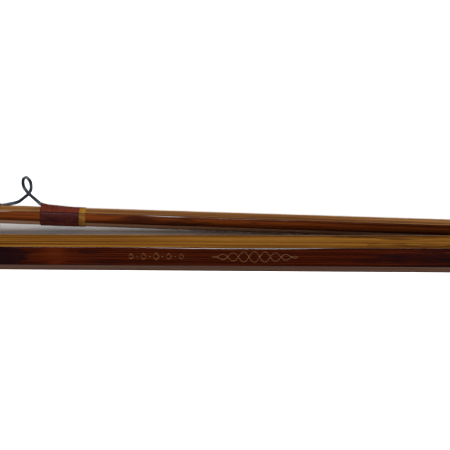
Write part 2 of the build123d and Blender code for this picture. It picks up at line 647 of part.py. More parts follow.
with BuildPart() as male_ferrule:
    with BuildSketch(Plane.XZ):
        with BuildLine():
            Polyline(
                (TIP_CANE[1], MALE_CANE_R), (TIP_CANE[1], MALE_CANE_R + FEATHER_WALL),
                (TIP_CANE[1] + FEATHERED, MALE_BARREL_R), (MALE_BARREL_END, MALE_BARREL_R),
                (MALE_BARREL_END, MALE_SLIDE_R), (TIP_LENGTH - 0.8, MALE_SLIDE_R),
            )
            ThreePointArc(
                (TIP_LENGTH - 0.8, MALE_SLIDE_R), (TIP_LENGTH - 0.24, MALE_SLIDE_R - 0.24),
                (TIP_LENGTH, MALE_SLIDE_R - 0.8),
            )
            Polyline(
                (TIP_LENGTH, MALE_SLIDE_R - 0.8), (TIP_LENGTH, 0), (TIP_LENGTH - 1.0, 0),
                (TIP_LENGTH - 1.0, MALE_CANE_R - 0.2), (MALE_BARREL_END, MALE_CANE_R - 0.2),
                (MALE_BARREL_END, MALE_CANE_R), (TIP_CANE[1], MALE_CANE_R),
            )
        make_face()
    revolve(axis=Axis.X)
    for k in range(3):
        with BuildSketch(Plane.YZ.offset(TIP_CANE[1])):
            Rectangle(2 * MALE_BARREL_R, 0.4, rotation=60 * k)
        extrude(amount=5, mode=Mode.SUBTRACT)
keep("male_ferrule", tip_place, male_ferrule.part)

with BuildPart() as male_solid:
    with BuildSketch(Plane.XZ):
        with BuildLine():
            Polyline(
                (TIP_CANE[1], 0), (TIP_CANE[1], MALE_CANE_R + FEATHER_WALL),
                (TIP_CANE[1] + FEATHERED, MALE_BARREL_R), (MALE_BARREL_END, MALE_BARREL_R),
                (MALE_BARREL_END, 0), close=True,
            )
        make_face()
    revolve(axis=Axis.X)
wrap_start, wrap_end = TIP_FERRULE_WRAP
keep("tip_ferrule_wrap", tip_place,
     ferrule_winding(wrap_start, TIP_CANE[1], wrap_end, MALE_BARREL_R + THREAD, male_solid.part, tip_flats))

tip_bands = [wound(wrap_end - BAND_LENGTH, wrap_end, tip_flats, BAND_THREAD)]
for number, (station, size) in enumerate(TIP_GUIDES, 1):
    guide = snake_guide(station, size, tip_flats)
    keep(f"tip_snake_guide_{number}", tip_place, guide)
    wraps, bands = snake_windings(station, size, tip_flats, guide)
    keep(f"tip_guide_{number}_wraps", tip_place, *wraps)
    tip_bands += bands

with BuildPart() as tip_top_tube:
    with BuildSketch(Plane.XZ):
        with BuildLine():
            Polyline((TIP_CANE[0], 0.80), (TIP_CANE[0], TIP_TOP_R - 0.05), (9, TIP_TOP_R), (1.7, TIP_TOP_R))
            CenterArc((1.7, TIP_TOP_R - 0.6), 0.6, 90, 90)
            Polyline((1.1, TIP_TOP_R - 0.6), (1.1, 0), (2.6, 0), (2.6, 0.80), (TIP_CANE[0], 0.80))
        make_face()
    revolve(axis=Axis.X)
keep("tip_top_tube", tip_place, tip_top_tube.part)

ring_height = TIP_TOP_R + TIP_WIRE_R - 0.1 + TIP_RING_R * cos(radians(TIP_RING_LEAN))
ring_level = Plane(origin=(1.5, 0, ring_height), x_dir=(0, 1, 0), z_dir=(0, 0, 1))
with BuildPart() as tip_top_ring:
    with BuildSketch(ring_level.rotated((0, -TIP_RING_LEAN, 0))):
        with Locations((TIP_RING_R, 0)):
            Circle(TIP_WIRE_R)
    ring_axis = (cos(radians(TIP_RING_LEAN)), 0, sin(radians(TIP_RING_LEAN)))
    revolve(axis=Axis((1.5, 0, ring_height), ring_axis))
    with BuildSketch(Plane.YZ):
        Circle(TIP_TOP_R)
    extrude(amount=TIP_CANE[0], mode=Mode.SUBTRACT)
keep("tip_top_ring", tip_place, upright * tip_top_ring.part)

keep("tip_top_wrap", tip_place, wound(TIP_CANE[0], TIP_TOP_WRAP_END, tip_flats, BAND_THREAD))
band_end = TIP_TOP_WRAP_END + TIP_TOP_BAND_LENGTH
tip_bands.append(wound(TIP_TOP_WRAP_END, band_end, tip_flats, BAND_THREAD * 0.9))
keep("tip_gold_bands", tip_place, *tip_bands)

# ------------------------------------------------------------------ centre the frame and write
box = Compound(children=list(pieces.values())).bounding_box()
centring = Pos(-(box.min.X + box.max.X) / 2, -(box.min.Y + box.max.Y) / 2, -box.min.Z)
for name, piece in pieces.items():
    piece.parent = None
    laid_piece = centring * piece
    laid_piece.label = name
    export_step(laid_piece, f"parts/{name}.step")
print("pieces", len(pieces), "centring", centring.position, "box", box.size)
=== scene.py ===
"""Looks of the split-cane fly rod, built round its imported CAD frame.

Every piece is modelled in millimetres in the frame of its own section, as in the CAD: x is the station, which
runs along the section from its thin end, and +z points out of the flat that the guides stand on. A section's
matrix lays the piece down in the row frame, in metres.
"""

import json
from math import atan2, cos, pi, radians, sin, sqrt, tan

import bmesh
import bpy
import numpy as np
from mathutils import Matrix, Vector, noise


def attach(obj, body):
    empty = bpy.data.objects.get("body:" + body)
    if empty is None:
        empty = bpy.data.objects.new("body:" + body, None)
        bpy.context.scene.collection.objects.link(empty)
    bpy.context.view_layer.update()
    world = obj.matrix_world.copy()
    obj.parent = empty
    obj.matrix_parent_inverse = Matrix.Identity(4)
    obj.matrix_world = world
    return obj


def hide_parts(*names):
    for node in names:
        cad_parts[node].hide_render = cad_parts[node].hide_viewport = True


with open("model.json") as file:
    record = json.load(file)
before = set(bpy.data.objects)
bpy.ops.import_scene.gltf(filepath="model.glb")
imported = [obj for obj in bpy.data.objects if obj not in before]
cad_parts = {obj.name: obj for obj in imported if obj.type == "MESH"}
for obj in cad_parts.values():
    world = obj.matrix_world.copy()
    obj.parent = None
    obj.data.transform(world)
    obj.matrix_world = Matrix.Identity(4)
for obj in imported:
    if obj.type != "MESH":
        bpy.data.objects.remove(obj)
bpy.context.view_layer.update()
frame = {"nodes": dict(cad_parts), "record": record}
MM = 0.001
SLOT_OF = {part["node"]: part["material_slot"] for part in frame["record"]["subparts"]}
BODY_OF = {node: body for body, nodes in frame["record"]["behaviour"]["bodies"].items() for node in nodes}


# ---------------- the two sections
class Section:
    """One half of the rod: where it lies, and how wide its cane is across the flats at each station.

    cane is where the cane starts and ends; tenons are (station, radius, "start" or "end") of its turned ends.
    """

    def __init__(self, name, mount, mount_station, inward, flats_at_start, slope, cane, tenons):
        placed = next(m for m in frame["record"]["mounts"] if m["name"] == mount)
        axis = Vector(placed["axis"]).normalized() * inward
        start = Vector(placed["pos_m"]) - axis * mount_station * MM
        strip_1 = frame["nodes"][f"{name}_cane_strip_1"].data.vertices  # the strip under the guides
        away = [(v.co - start) - (v.co - start).dot(axis) * axis for v in strip_1]
        furthest = max(a.length for a in away)
        up = sum((a for a in away if a.length > furthest - 1e-5), Vector()).normalized()
        turn = Matrix((axis, up.cross(axis), up)).transposed().to_4x4()
        self.matrix = Matrix.Translation(start) @ turn @ Matrix.Scale(MM, 4)
        self.name, self.cane, self.tenons = name, cane, tenons
        self.seed = 5 if name == "tip" else 0
        self.flats_at_start, self.slope = flats_at_start, slope

    def flats(self, station):
        return self.flats_at_start + self.slope * (station - self.cane[0])


butt = Section("butt", "female_ferrule", 14.5, -1, 5.41, 0.0035, (52.0, 1087.0),
               ((52.0, 2.5, "start"), (30.5, 2.5, "start"), (1087.0, 4.0, "end"), (1178.0, 4.0, "end")))
tip = Section("tip", "male_ferrule", 1193.6, 1, 1.80, 0.00298, (10.0, 1158.0),
              ((10.0, 0.8, "start"), (2.6, 0.8, "start"), (1158.0, 2.3, "end"), (1180.0, 2.3, "end")))

# Snake guides: stations of their middles and their sizes. What follows is for a guide of size 1.
BUTT_GUIDES = ((130.0, 1.15), (310.0, 1.25))
TIP_GUIDES = ((120.0, 0.62), (265.0, 0.68), (430.0, 0.76), (610.0, 0.86), (800.0, 1.0), (965.0, 1.04),
              (1120.0, 1.1))
GUIDE_TURN, LEAN_BACK = radians(13.0), 0.08  # a guide stands turned round the rod, and leans to the thin end
FOOT_START, FOOT_END = 5.2, 12.5  # from the guide's middle
FOOT_HEIGHT, FOOT_TIP_HEIGHT, FOOT_HALF_WIDTH = 0.74, 0.14, 0.40
WRAP_STARTS, WRAP_LENGTH, BAND_LENGTH = (-7.0, 3.6), 10.2, 1.7
GAP = 0.03  # varnish between a foot and the cane
STRIPPING_STATION, KEEPER_STATION = 485.0, 894.0
STRIPPING_WRAP, KEEPER_WRAP = (9.6, 23.0), (1.9, 11.0)  # from the middle of the guide or keeper
OTHER_BANDS = {"butt": ((62.0, 63.7), (460.3, 462.0), (508.0, 509.7)),
               "tip": ((1145.3, 1147.0), (22.0, 23.2))}
THREAD, BAND_THREAD, THREAD_PITCH, THREAD_RELIEF = 0.19, 0.171, 0.17, 0.022


# ---------------- meshes
def store(mesh, name, values, kind="FLOAT"):
    """Keeps a number or a vector for each point, for its material."""
    stored = mesh.attributes.new(name, kind, "POINT")
    field = "vector" if kind == "FLOAT_VECTOR" else "value"
    stored.data.foreach_set(field, np.asarray(values, np.float32).ravel())


def add_mesh(name, points, faces, matrix, place=None, sharp=38.0, weld=False):
    """A mesh object from points in a section's millimetres; place is a vector for each point."""
    mesh = bpy.data.meshes.new(name)
    mesh.from_pydata(np.asarray(points, float).tolist(), [], faces)
    mesh.transform(matrix)
    if place is not None:
        store(mesh, "place", place, "FLOAT_VECTOR")
    if weld:
        welded = bmesh.new()
        welded.from_mesh(mesh)
        bmesh.ops.remove_doubles(welded, verts=welded.verts, dist=1e-7)
        welded.to_mesh(mesh)
        welded.free()
    mesh.polygons.foreach_set("use_smooth", [True] * len(mesh.polygons))
    mesh.set_sharp_from_angle(angle=radians(sharp))
    mesh.validate()
    piece = bpy.data.objects.new(name, mesh)
    bpy.context.scene.collection.objects.link(piece)
    return piece


def merged(name, section, parts, sharp=38.0, weld=False):
    """One object of several separate meshes, and its points. A part is its points, faces and places."""
    faces, base = [], 0
    for some_points, some_faces, _ in parts:
        faces += [[base + v for v in face] for face in some_faces]
        base += len(some_points)
    points, places = (np.concatenate([part[k] for part in parts]) for k in (0, 2))
    return add_mesh(name, points, faces, section.matrix, places, sharp, weld), points


def finish_piece(piece, node, material=None, slot=None):
    """Gives a piece the body and slot of the CAD node that it stands for, and the slot's material."""
    slot = slot or SLOT_OF[node]
    piece.data.materials.append(material or MATERIALS[slot])
    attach(piece, BODY_OF[node])
    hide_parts(node)


def tube_faces(rows, columns, around=False):
    """Quads of a tube of rows of points; around joins the last row to the first, else the ends get caps."""
    r, c = np.meshgrid(np.arange(rows if around else rows - 1), np.arange(columns), indexing="ij")
    r2, c2 = (r + 1) % rows, (c + 1) % columns
    quads = np.stack([r * columns + c, r * columns + c2, r2 * columns + c2, r2 * columns + c], axis=-1)
    faces = quads.reshape(-1, 4).tolist()
    if not around:
        faces.append(list(range(columns))[::-1])
        faces.append([(rows - 1) * columns + k for k in range(columns)])
    return faces


def round_angles(count):
    return np.linspace(0, 2 * pi, count, endpoint=False)


def shell(stations, radii, angles, closed=True, height=0.0, seed=0.0, girth=None):
    """A skin through rows of radii at stations; height lifts its axis above the section's own."""
    radii = np.asarray(radii, float)
    radii = np.broadcast_to(radii if radii.ndim == 2 else radii[:, None], (len(stations), len(angles)))
    rows = np.stack([np.broadcast_to(np.asarray(stations, float)[:, None], radii.shape),
                     radii * np.cos(angles), radii * np.sin(angles) + height], axis=-1)
    round_it = np.broadcast_to(angles * (girth or radii.max()), radii.shape)
    place = np.stack([rows[..., 0], round_it, np.full(radii.shape, seed)], axis=-1)
    return rows.reshape(-1, 3), tube_faces(*radii.shape, around=closed), place.reshape(-1, 3)


def bell(distance, half_width):
    return np.exp(-(distance / half_width) ** 2)


def smooth_noise(x, wavelength, seed):
    """Gentle random waves of about one unit along x."""
    waves = np.random.default_rng(seed)
    total = np.zeros_like(x, float)
    for _ in range(7):
        total += np.sin(2 * pi * x / (wavelength * waves.uniform(0.6, 1.7)) + waves.uniform(0, 2 * pi))
    return total / 2.6


# ---------------- shader helpers
class Shader:
    """A principled material that is put together node by node."""

    def __init__(self, name):
        self.material = bpy.data.materials.new(name)
        self.material.use_nodes = True
        self.nodes = self.material.node_tree.nodes
        self.links = self.material.node_tree.links
        self.bsdf = self.nodes["Principled BSDF"]

    def node(self, kind, inputs=None, **settings):
        made = self.nodes.new(kind)
        for key, value in settings.items():
            setattr(made, key, value)
        for key, value in (inputs or {}).items():
            self.set(made.inputs[key], value)
        return made

    def set(self, socket, value):
        if isinstance(value, bpy.types.NodeSocket):
            self.links.new(value, socket)
        else:
            socket.default_value = value

    def attribute(self, name, output="Fac"):
        return self.node("ShaderNodeAttribute", attribute_name=name).outputs[output]

    def mapped(self, vector, scale, shift=(0, 0, 0)):
        inputs = {"Vector": vector, "Scale": scale, "Location": shift}
        return self.node("ShaderNodeMapping", inputs).outputs[0]

    def place(self, scale, shift=(0, 0, 0)):
        """The piece's own coordinates, scaled: along, across, and a number that sets pieces apart."""
        return self.mapped(self.attribute("place", "Vector"), scale, shift)

    def coordinates(self, scale=(1, 1, 1)):
        return self.mapped(self.node("ShaderNodeTexCoord").outputs["Object"], scale)

    def noise(self, vector, scale, detail=3.0, roughness=0.55, distortion=0.0):
        inputs = {"Vector": vector, "Scale": scale, "Detail": detail, "Roughness": roughness,
                  "Distortion": distortion}
        return self.node("ShaderNodeTexNoise", inputs).outputs["Fac"]

    def math(self, operation, a, b, clamp=False):
        return self.node("ShaderNodeMath", {0: a, 1: b}, operation=operation, use_clamp=clamp).outputs[0]

    def plus(self, a, b):
        return self.math("ADD", a, b)

    def minus(self, a, b):
        return self.math("SUBTRACT", a, b)

    def times(self, a, b, clamp=False):
        return self.math("MULTIPLY", a, b, clamp)

    def ramp(self, factor, *stops):
        made = self.node("ShaderNodeValToRGB", {"Fac": factor})
        while len(made.color_ramp.elements) < len(stops):
            made.color_ramp.elements.new(0.5)
        for element, (position, colour) in zip(made.color_ramp.elements, stops):
            element.position, element.color = position, (*colour, 1)
        return made.outputs["Color"]

    def span(self, value, low, high, to_low=0.0, to_high=1.0):
        return self.node("ShaderNodeMapRange", {"Value": value, "From Min": low, "From Max": high,
                                                "To Min": to_low, "To Max": to_high}).outputs[0]

    def mix(self, factor, a, b):
        made = self.node("ShaderNodeMix", data_type="RGBA")
        for socket, value in zip((0, 6, 7), (factor, a, b)):
            self.set(made.inputs[socket], (*value, 1) if isinstance(value, tuple) else value)
        return made.outputs[2]

    def bump(self, height, strength, distance):
        inputs = {"Height": height, "Strength": strength, "Distance": distance}
        return self.node("ShaderNodeBump", inputs).outputs[0]

    def surface(self, **values):
        for key, value in values.items():
            self.set(self.bsdf.inputs[key.replace("_", " ")], value)
        return self.material


def cane_material(name, pale, middle, dark, char, varnish=1.0, char_from=0.62):
    """Varnished bamboo: long fibres, flamed patches, dark knots and a fine glue line along each corner."""
    s = Shader(name)
    edge = s.attribute("edge")
    knot = s.attribute("knot")
    burn = s.attribute("burn")
    broad = s.noise(s.place((0.010, 0.25, 7.3)), 1.0, 2.0, 0.5, 0.3)
    streak = s.noise(s.place((0.009, 1.9, 5.1)), 1.0, 3.0, 0.6)
    fibre = s.noise(s.place((0.05, 6.5, 3.7)), 1.0, 3.0, 0.65)
    fleck = s.noise(s.place((0.35, 15.0, 2.9)), 1.0, 2.0, 0.6)
    flame = s.noise(s.place((0.055, 0.50, 9.1), (3.1, 0, 0)), 1.0, 4.0, 0.6, 1.4)
    tone = s.plus(s.times(streak, 0.5), s.times(fibre, 0.3))
    tone = s.plus(tone, s.times(s.plus(broad, fleck), 0.1))
    tone = s.minus(tone, s.times(burn, 0.035))
    wood = s.ramp(s.span(tone, 0.41, 0.59), (0.0, dark), (0.45, middle), (1.0, pale))
    ember = s.times(s.times(burn, -1.0, True), s.span(flame, 0.44, 0.60), True)
    wood = s.mix(ember, wood, tuple(1.5 * c for c in pale))
    flamed = s.span(s.plus(flame, s.times(burn, 0.34)), char_from, char_from + 0.14)
    patch = s.times(flamed, s.span(fibre, 0.35, 0.6, 1.0, 0.72), True)
    wood = s.mix(patch, wood, char)
    wood = s.mix(s.times(knot, s.span(fleck, 0.3, 0.6, 0.5, 0.9), True), wood, char)
    wood = s.mix(s.span(edge, 0.03, 0.13, 0.75, 0.0), wood, tuple(0.35 * c for c in dark))
    gloss = s.span(streak, 0.3, 0.7, 0.05, 0.09)
    return s.surface(Base_Color=wood, Roughness=0.45, Normal=s.bump(fibre, 0.12, 0.00001),
                     Coat_Weight=varnish, Coat_Roughness=0.07, Coat_Normal=s.bump(gloss, 0.15, 0.00002),
                     Coat_IOR=1.5, Specular_IOR_Level=0.0)


def thread_material(name, light, deep, varnish):
    """Silk under varnish: turns and strands, darkened by painted shade where the piece's painted light number
    is low.
    """
    s = Shader(name)
    beneath = s.attribute("beneath")
    turns = s.noise(s.place((5.9, 0.02, 1.0)), 1.0, 2.0, 0.6)
    strands = s.noise(s.place((4.0, 7.0, 1.0)), 1.0, 3.0, 0.65)
    mottle = s.noise(s.place((0.30, 0.8, 1.0)), 1.0, 3.0, 0.6)
    tone = s.plus(s.times(turns, 0.4), s.times(s.plus(strands, mottle), 0.3))
    colour = s.ramp(s.span(tone, 0.40, 0.60), (0.0, deep), (1.0, light))
    # Painted shade: where the painted light number is low, the silk is mixed most of the way to near black, a
    # little unevenly.
    shade = s.span(s.plus(beneath, s.span(mottle, 0.35, 0.65, -0.12, 0.12)), 0.0, 1.0, 0.0, 1.0)
    colour = s.mix(shade, s.mix(0.88, colour, (0.004, 0.0015, 0.0022)), colour)
    return s.surface(Base_Color=colour, Roughness=0.5, Normal=s.bump(strands, 0.2, 0.00001),
                     Coat_Weight=varnish, Coat_Roughness=0.10, Coat_IOR=1.5, Sheen_Weight=0.005,
                     Sheen_Roughness=0.4, Specular_IOR_Level=0.0)


def gold_ink():
    """Fine gold paint under the varnish, a little worn."""
    s = Shader("gold_ink")
    worn = s.noise(s.coordinates(), 2400.0, 3.0, 0.6)
    colour = s.ramp(worn, (0.35, (0.040, 0.018, 0.005)), (0.65, (0.13, 0.068, 0.018)))
    return s.surface(Base_Color=colour, Roughness=0.45, Metallic=0.3, Specular_IOR_Level=0.2,
                     Normal=s.bump(worn, 0.2, 0.00001))


def blued_steel():
    """Spring steel wire, blued nearly black, with faint drawing marks and a cloudy tone."""
    s = Shader("blued_steel")
    marks = s.noise(s.coordinates(), 900.0, 3.0, 0.6)
    cloud = s.noise(s.coordinates(), 160.0, 2.0, 0.5)
    colour = s.ramp(cloud, (0.3, (0.004, 0.006, 0.010)), (0.7, (0.010, 0.014, 0.022)))
    return s.surface(Base_Color=colour, Metallic=0.35, Roughness=s.span(marks, 0.3, 0.7, 0.30, 0.46),
                     Normal=s.bump(marks, 0.15, 0.00002), Specular_IOR_Level=0.2)


def nickel_silver():
    """Polished nickel silver, a warm white metal, with turning marks and light tarnish."""
    s = Shader("nickel_silver")
    rings = s.noise(s.coordinates((2600, 60, 60)), 1.0, 2.0, 0.6)
    cloud = s.noise(s.coordinates(), 90.0, 4.0, 0.6)
    colour = s.ramp(cloud, (0.25, (0.20, 0.185, 0.155)), (0.75, (0.34, 0.325, 0.29)))
    return s.surface(Base_Color=colour, Metallic=1.0, Roughness=s.span(cloud, 0.25, 0.75, 0.2, 0.32),
                     Normal=s.bump(rings, 0.12, 0.00003))


def agate():
    """Banded red-brown agate, polished."""
    s = Shader("agate")
    bands = s.noise(s.coordinates(), 220.0, 5.0, 0.55, 1.6)
    colour = s.ramp(bands, (0.30, (0.05, 0.009, 0.003)), (0.45, (0.17, 0.042, 0.012)),
                    (0.55, (0.28, 0.13, 0.055)), (0.70, (0.10, 0.021, 0.007)))
    return s.surface(Base_Color=colour, Roughness=0.08, Subsurface_Weight=0.15, Coat_Weight=0.5,
                     Coat_Roughness=0.03)


def cork():
    """Sanded cork: a fine warm grain, darker pits and the odd long pore."""
    s = Shader("cork")
    grain = s.noise(s.coordinates(), 900.0, 4.0, 0.6)
    pores = s.noise(s.coordinates((1.0, 2.2, 2.2)), 260.0, 3.0, 0.6, 0.6)
    cell_inputs = {"Vector": s.coordinates((1.0, 1.6, 1.6)), "Scale": 520.0}
    cells = s.node("ShaderNodeTexVoronoi", cell_inputs).outputs["Distance"]
    rings = s.noise(s.place((0.0, 0.0, 2.37)), 1.0, 1.0, 0.5)
    colour = s.ramp(grain, (0.3, (0.15, 0.075, 0.034)), (0.7, (0.29, 0.175, 0.090)))
    colour = s.mix(s.span(rings, 0.35, 0.65, 0.0, 0.45), colour, (0.19, 0.10, 0.045))
    pit = s.span(pores, 0.62, 0.70)
    colour = s.mix(s.times(pit, 0.85), colour, (0.040, 0.017, 0.008))
    colour = s.mix(s.span(cells, 0.0, 0.14, 0.5, 0.0), colour, (0.07, 0.033, 0.014))
    height = s.minus(grain, s.times(pit, 1.2))
    return s.surface(Base_Color=colour, Roughness=0.82, Normal=s.bump(height, 0.5, 0.00025),
                     Specular_IOR_Level=0.3)


def seat_wood():
    """Oiled walnut with straight grain and small pores."""
    s = Shader("seat_wood")
    grain = s.noise(s.coordinates((28, 420, 420)), 1.0, 5.0, 0.6, 0.8)
    pores = s.noise(s.coordinates((160, 2600, 2600)), 1.0, 2.0, 0.6)
    colour = s.ramp(grain, (0.3, (0.016, 0.0055, 0.002)), (0.55, (0.050, 0.019, 0.0068)),
                    (0.75, (0.095, 0.040, 0.015)))
    colour = s.mix(s.span(pores, 0.58, 0.7, 0.0, 0.7), colour, (0.010, 0.0035, 0.0016))
    return s.surface(Base_Color=colour, Roughness=0.4, Normal=s.bump(pores, 0.2, 0.00004), Coat_Weight=0.35,
                     Coat_Roughness=0.12)


# ---------------- cane
CANE_STEP = 1.5
KNOT_SPACING = 340.0
FIRST_KNOT = {"butt": 168.7, "tip": 129.0}
ARRIS_R = (0.05, 0.62)  # the varnish rounds the cane's corners, thinly in places and fully in others
# Where the varnish lies thickest on a corner, as (corner, middle station, half its length)
THICK_VARNISH = {"butt": ((2, 795.0, 19.0),), "tip": ((2, 852.0, 7.0),)}
# Where a strip was flamed darkest, or least, as (strip, middle station, half its length, how strongly)
BURNS = {"butt": ((3, 726.0, 16.5, 2.3), (3, 749.8, 4.8, -0.75), (3, 762.0, 10.0, 0.40),
                  (3, 684.0, 16.0, -0.6), (3, 872.0, 36.0, 1.2), (2, 838.0, 40.0, 0.85),
                  (2, 722.0, 36.0, 0.6)),
         "tip": ((3, 829.0, 8.0, 0.7), (3, 842.0, 6.0, 0.6), (3, 813.0, 7.0, -0.3))}


def corner_radius(section, corner, station):
    """How round one of the cane's six corners is at a station."""
    thick = 0.03 + 0.06 * smooth_noise(np.asarray(station, float), 46.0, 71 * corner + section.seed)
    for where, middle, half in THICK_VARNISH[section.name]:
        if where == corner:
            thick = np.maximum(thick * 0.5, 1.0 / (1.0 + np.exp((abs(station - middle) - half) / 3.0)))
    thin, full = ARRIS_R
    return (thin + (full - thin) * np.clip(thick, 0.0, 1.0)) * min(1.0, section.flats(station) / 6)


def hexagon_side(flats, normal, corner_radii, arc_points=5, flat_points=9):
    """Points of one side of a rounded hexagon, from corner to corner, with each point's outward direction."""
    before, after = corner_radii
    points, directions = [], []

    def round_corner(corner, radius, ways):
        reach = (flats / 2 - radius) / cos(pi / 6)
        for way in ways:
            points.append((reach * cos(corner) + radius * cos(way), reach * sin(corner) + radius * sin(way)))
            directions.append(way)

    round_corner(normal - pi / 6, before, [normal - pi / 6 * (1 - k / arc_points) for k in range(arc_points)])
    low, high = -(flats / 2 - before) * tan(pi / 6), (flats / 2 - after) * tan(pi / 6)
    for aside in np.linspace(low, high, flat_points):
        points.append((flats / 2 * cos(normal) - aside * sin(normal),
                       flats / 2 * sin(normal) + aside * cos(normal)))
        directions.append(normal)
    round_corner(normal + pi / 6, after, [normal + pi / 6 * k / arc_points for k in range(1, arc_points + 1)])
    return np.array(points), np.array(directions)


def cane_strip(section, index, knots, material):
    """One glued strip, from its turned end inside one fitting to its turned end inside the other."""
    start, end = section.cane
    stations = np.arange(start, end, CANE_STEP)
    near = [np.linspace(k - 7, k + 7, 40) for k in knots]
    stations = np.unique(np.concatenate([stations, [end], *near]).clip(start, end).round(3))
    normal = pi / 2 + index * pi / 3
    seed = 31 * index + section.seed
    uneven = min(1.0, section.flats(end) / 9)
    rows, places, edges, dark, burnt = [], [], [], [], []
    lift = smooth_noise(stations, 34.0, seed) * 0.010 + smooth_noise(stations, 9.0, seed + 1) * 0.004
    crown = smooth_noise(stations, 21.0, seed + 2) * 0.008
    for station, rise, bulge in zip(stations, lift, crown):
        radii = corner_radius(section, index, station), corner_radius(section, (index + 1) % 6, station)
        points, ways = hexagon_side(section.flats(station), normal, radii)
        across = points @ np.array((-sin(normal), cos(normal)))
        spread = np.abs(across).max()
        swell = sum(bell(station - k, 2.6) for k in knots)
        share = across / spread
        out = uneven * (rise + bulge * np.cos(pi * share)) + 0.05 * swell * (1 - share ** 2)
        out = out * (1 - np.abs(share) ** 6)
        points = points + out[:, None] * np.stack([np.cos(ways), np.sin(ways)], axis=1)
        rows.append(np.c_[np.full(len(points), station), points])
        places.append(np.c_[np.full(len(points), station), across, np.full(len(points), seed)])
        edges.append(spread - np.abs(across))
        mark = sum(bell(station - k, 0.7) + 0.45 * bell(station - k - 2.4, 1.6) for k in knots)
        dark.append(np.full(len(points), min(float(mark), 1.0)))
        heat = sum(strength * bell(station - middle, half)
                   for strip, middle, half, strength in BURNS[section.name] if strip == index + 1)
        burnt.append(np.full(len(points), float(heat)))
    for station, radius, at in section.tenons:
        first, where = (0, 0) if at == "start" else (-1, len(rows))
        turn = np.arctan2(rows[first][:, 2], rows[first][:, 1])
        ring = np.c_[np.full(len(turn), station), radius * np.cos(turn), radius * np.sin(turn)]
        for stack, value in ((rows, ring), (places, places[first]), (edges, edges[0]), (dark, dark[0] * 0),
                             (burnt, dark[0] * 0)):
            stack.insert(where, value)
    loops = np.array([np.r_[row, [(row[0, 0], 0.0, 0.0)]] for row in rows])  # a row ends on the axis
    place = np.array([np.r_[row, row[:1]] for row in places])
    piece = add_mesh(f"{section.name}_bamboo_{index + 1}", loops.reshape(-1, 3), tube_faces(*loops.shape[:2]),
                     section.matrix, place.reshape(-1, 3))
    for name, values in (("edge", edges), ("knot", dark), ("burn", burnt)):
        store(piece.data, name, [np.r_[row, row[:1]] for row in values])
    finish_piece(piece, f"{section.name}_cane_strip_{index + 1}", material)


# ---------------- windings
# Angles round a winding, closer together at the cane's corners
CORNER_STEPS = np.array((-30, -25, -20.5, -16, -10, -3, 3, 10, 16, 20.5, 25))
WINDING_ANGLES = np.sort(np.radians(np.concatenate([90 + 60 * k + CORNER_STEPS for k in range(6)]) % 360))
# Painted light on the silk: how much of its own colour it keeps over each strip; the low numbers paint shade
# over the strip that faces the front and over the underside.
SILK_PAINTED_LIGHT = {"butt": (0.9, 1.0, 0.2, 0.6, 0.9, 0.8), "tip": (0.9, 1.0, 0.14, 0.75, 0.8, 0.9)}


def hull(points):
    """The corners of the tightest outline round some points, anticlockwise."""
    points = sorted(map(tuple, points))

    def half(run):
        kept = []
        for p in run:
            while len(kept) > 1 and ((kept[-1][0] - kept[-2][0]) * (p[1] - kept[-2][1])
                                     - (kept[-1][1] - kept[-2][1]) * (p[0] - kept[-2][0])) <= 0:
                kept.pop()
            kept.append(p)
        return kept[:-1]

    return np.array(half(points) + half(points[::-1]))


def reach_of(outline, angles):
    """How far an outline round the origin is from it at each angle."""
    ways = np.stack([np.cos(angles), np.sin(angles)], axis=1)
    best = np.full(len(angles), np.inf)
    for a, b in zip(outline, np.roll(outline, -1, axis=0)):
        normal = np.array((b[1] - a[1], a[0] - b[0]))
        facing = ways @ normal
        with np.errstate(divide="ignore", invalid="ignore"):
            distance = np.where(facing > 1e-9, (a @ normal) / facing, np.inf)
        best = np.minimum(best, distance)
    return best


def cane_outline(flats):
    """The cane's outline under a winding."""
    rounded = 0.10 * min(1.0, flats / 6)
    sides = [hexagon_side(flats, pi / 2 + k * pi / 3, (rounded, rounded), 4, 2)[0] for k in range(6)]
    return np.concatenate(sides)


def foot_height(reach, size):
    """Height of a guide's wire or foot above the flat at this distance from the guide's middle."""
    if reach < FOOT_START * size:
        return FOOT_HEIGHT + 0.36 * (FOOT_START * size - reach) / size
    along = (reach - FOOT_START * size) / ((FOOT_END - FOOT_START) * size)
    return FOOT_HEIGHT - (FOOT_HEIGHT - FOOT_TIP_HEIGHT) * min(along, 1.0)


def winding(section, start, end, outline_at, thickness=THREAD, inner_at=None):
    """Thread wound from start to end over what outline_at gives, with a helix of turns on its surface."""
    angles, length = WINDING_ANGLES, end - start
    turns = max(4, round(length / THREAD_PITCH))
    stations = np.linspace(start, end, 4 * turns + 1)
    keys = np.linspace(start, end, max(4, int(length / 0.8)))
    reach = np.array([reach_of(hull(outline_at(k)), angles) for k in keys])
    outer = np.array([np.interp(stations, keys, column) for column in reach.T]).T
    phase = 2 * pi * ((stations[:, None] - start) * turns / length - angles[None] / (2 * pi))
    ends = np.minimum(stations - start, end - stations)
    taper = np.clip(ends / (THREAD_PITCH * 0.5), 0.0, 1.0)[:, None] ** 0.5
    thread = thickness - 0.02 - THREAD_RELIEF + THREAD_RELIEF * np.sqrt(np.abs(np.sin(phase / 2)))
    radius = outer + 0.02 + thread * (0.35 + 0.65 * taper)
    inner_at = inner_at or (lambda s: reach_of(cane_outline(section.flats(s)), angles) - 0.06)
    inner = np.array([np.broadcast_to(inner_at(s), angles.shape) for s in (end, start)])
    return shell([*stations, end, start], np.concatenate([radius, inner]), angles, seed=start, girth=2.3)


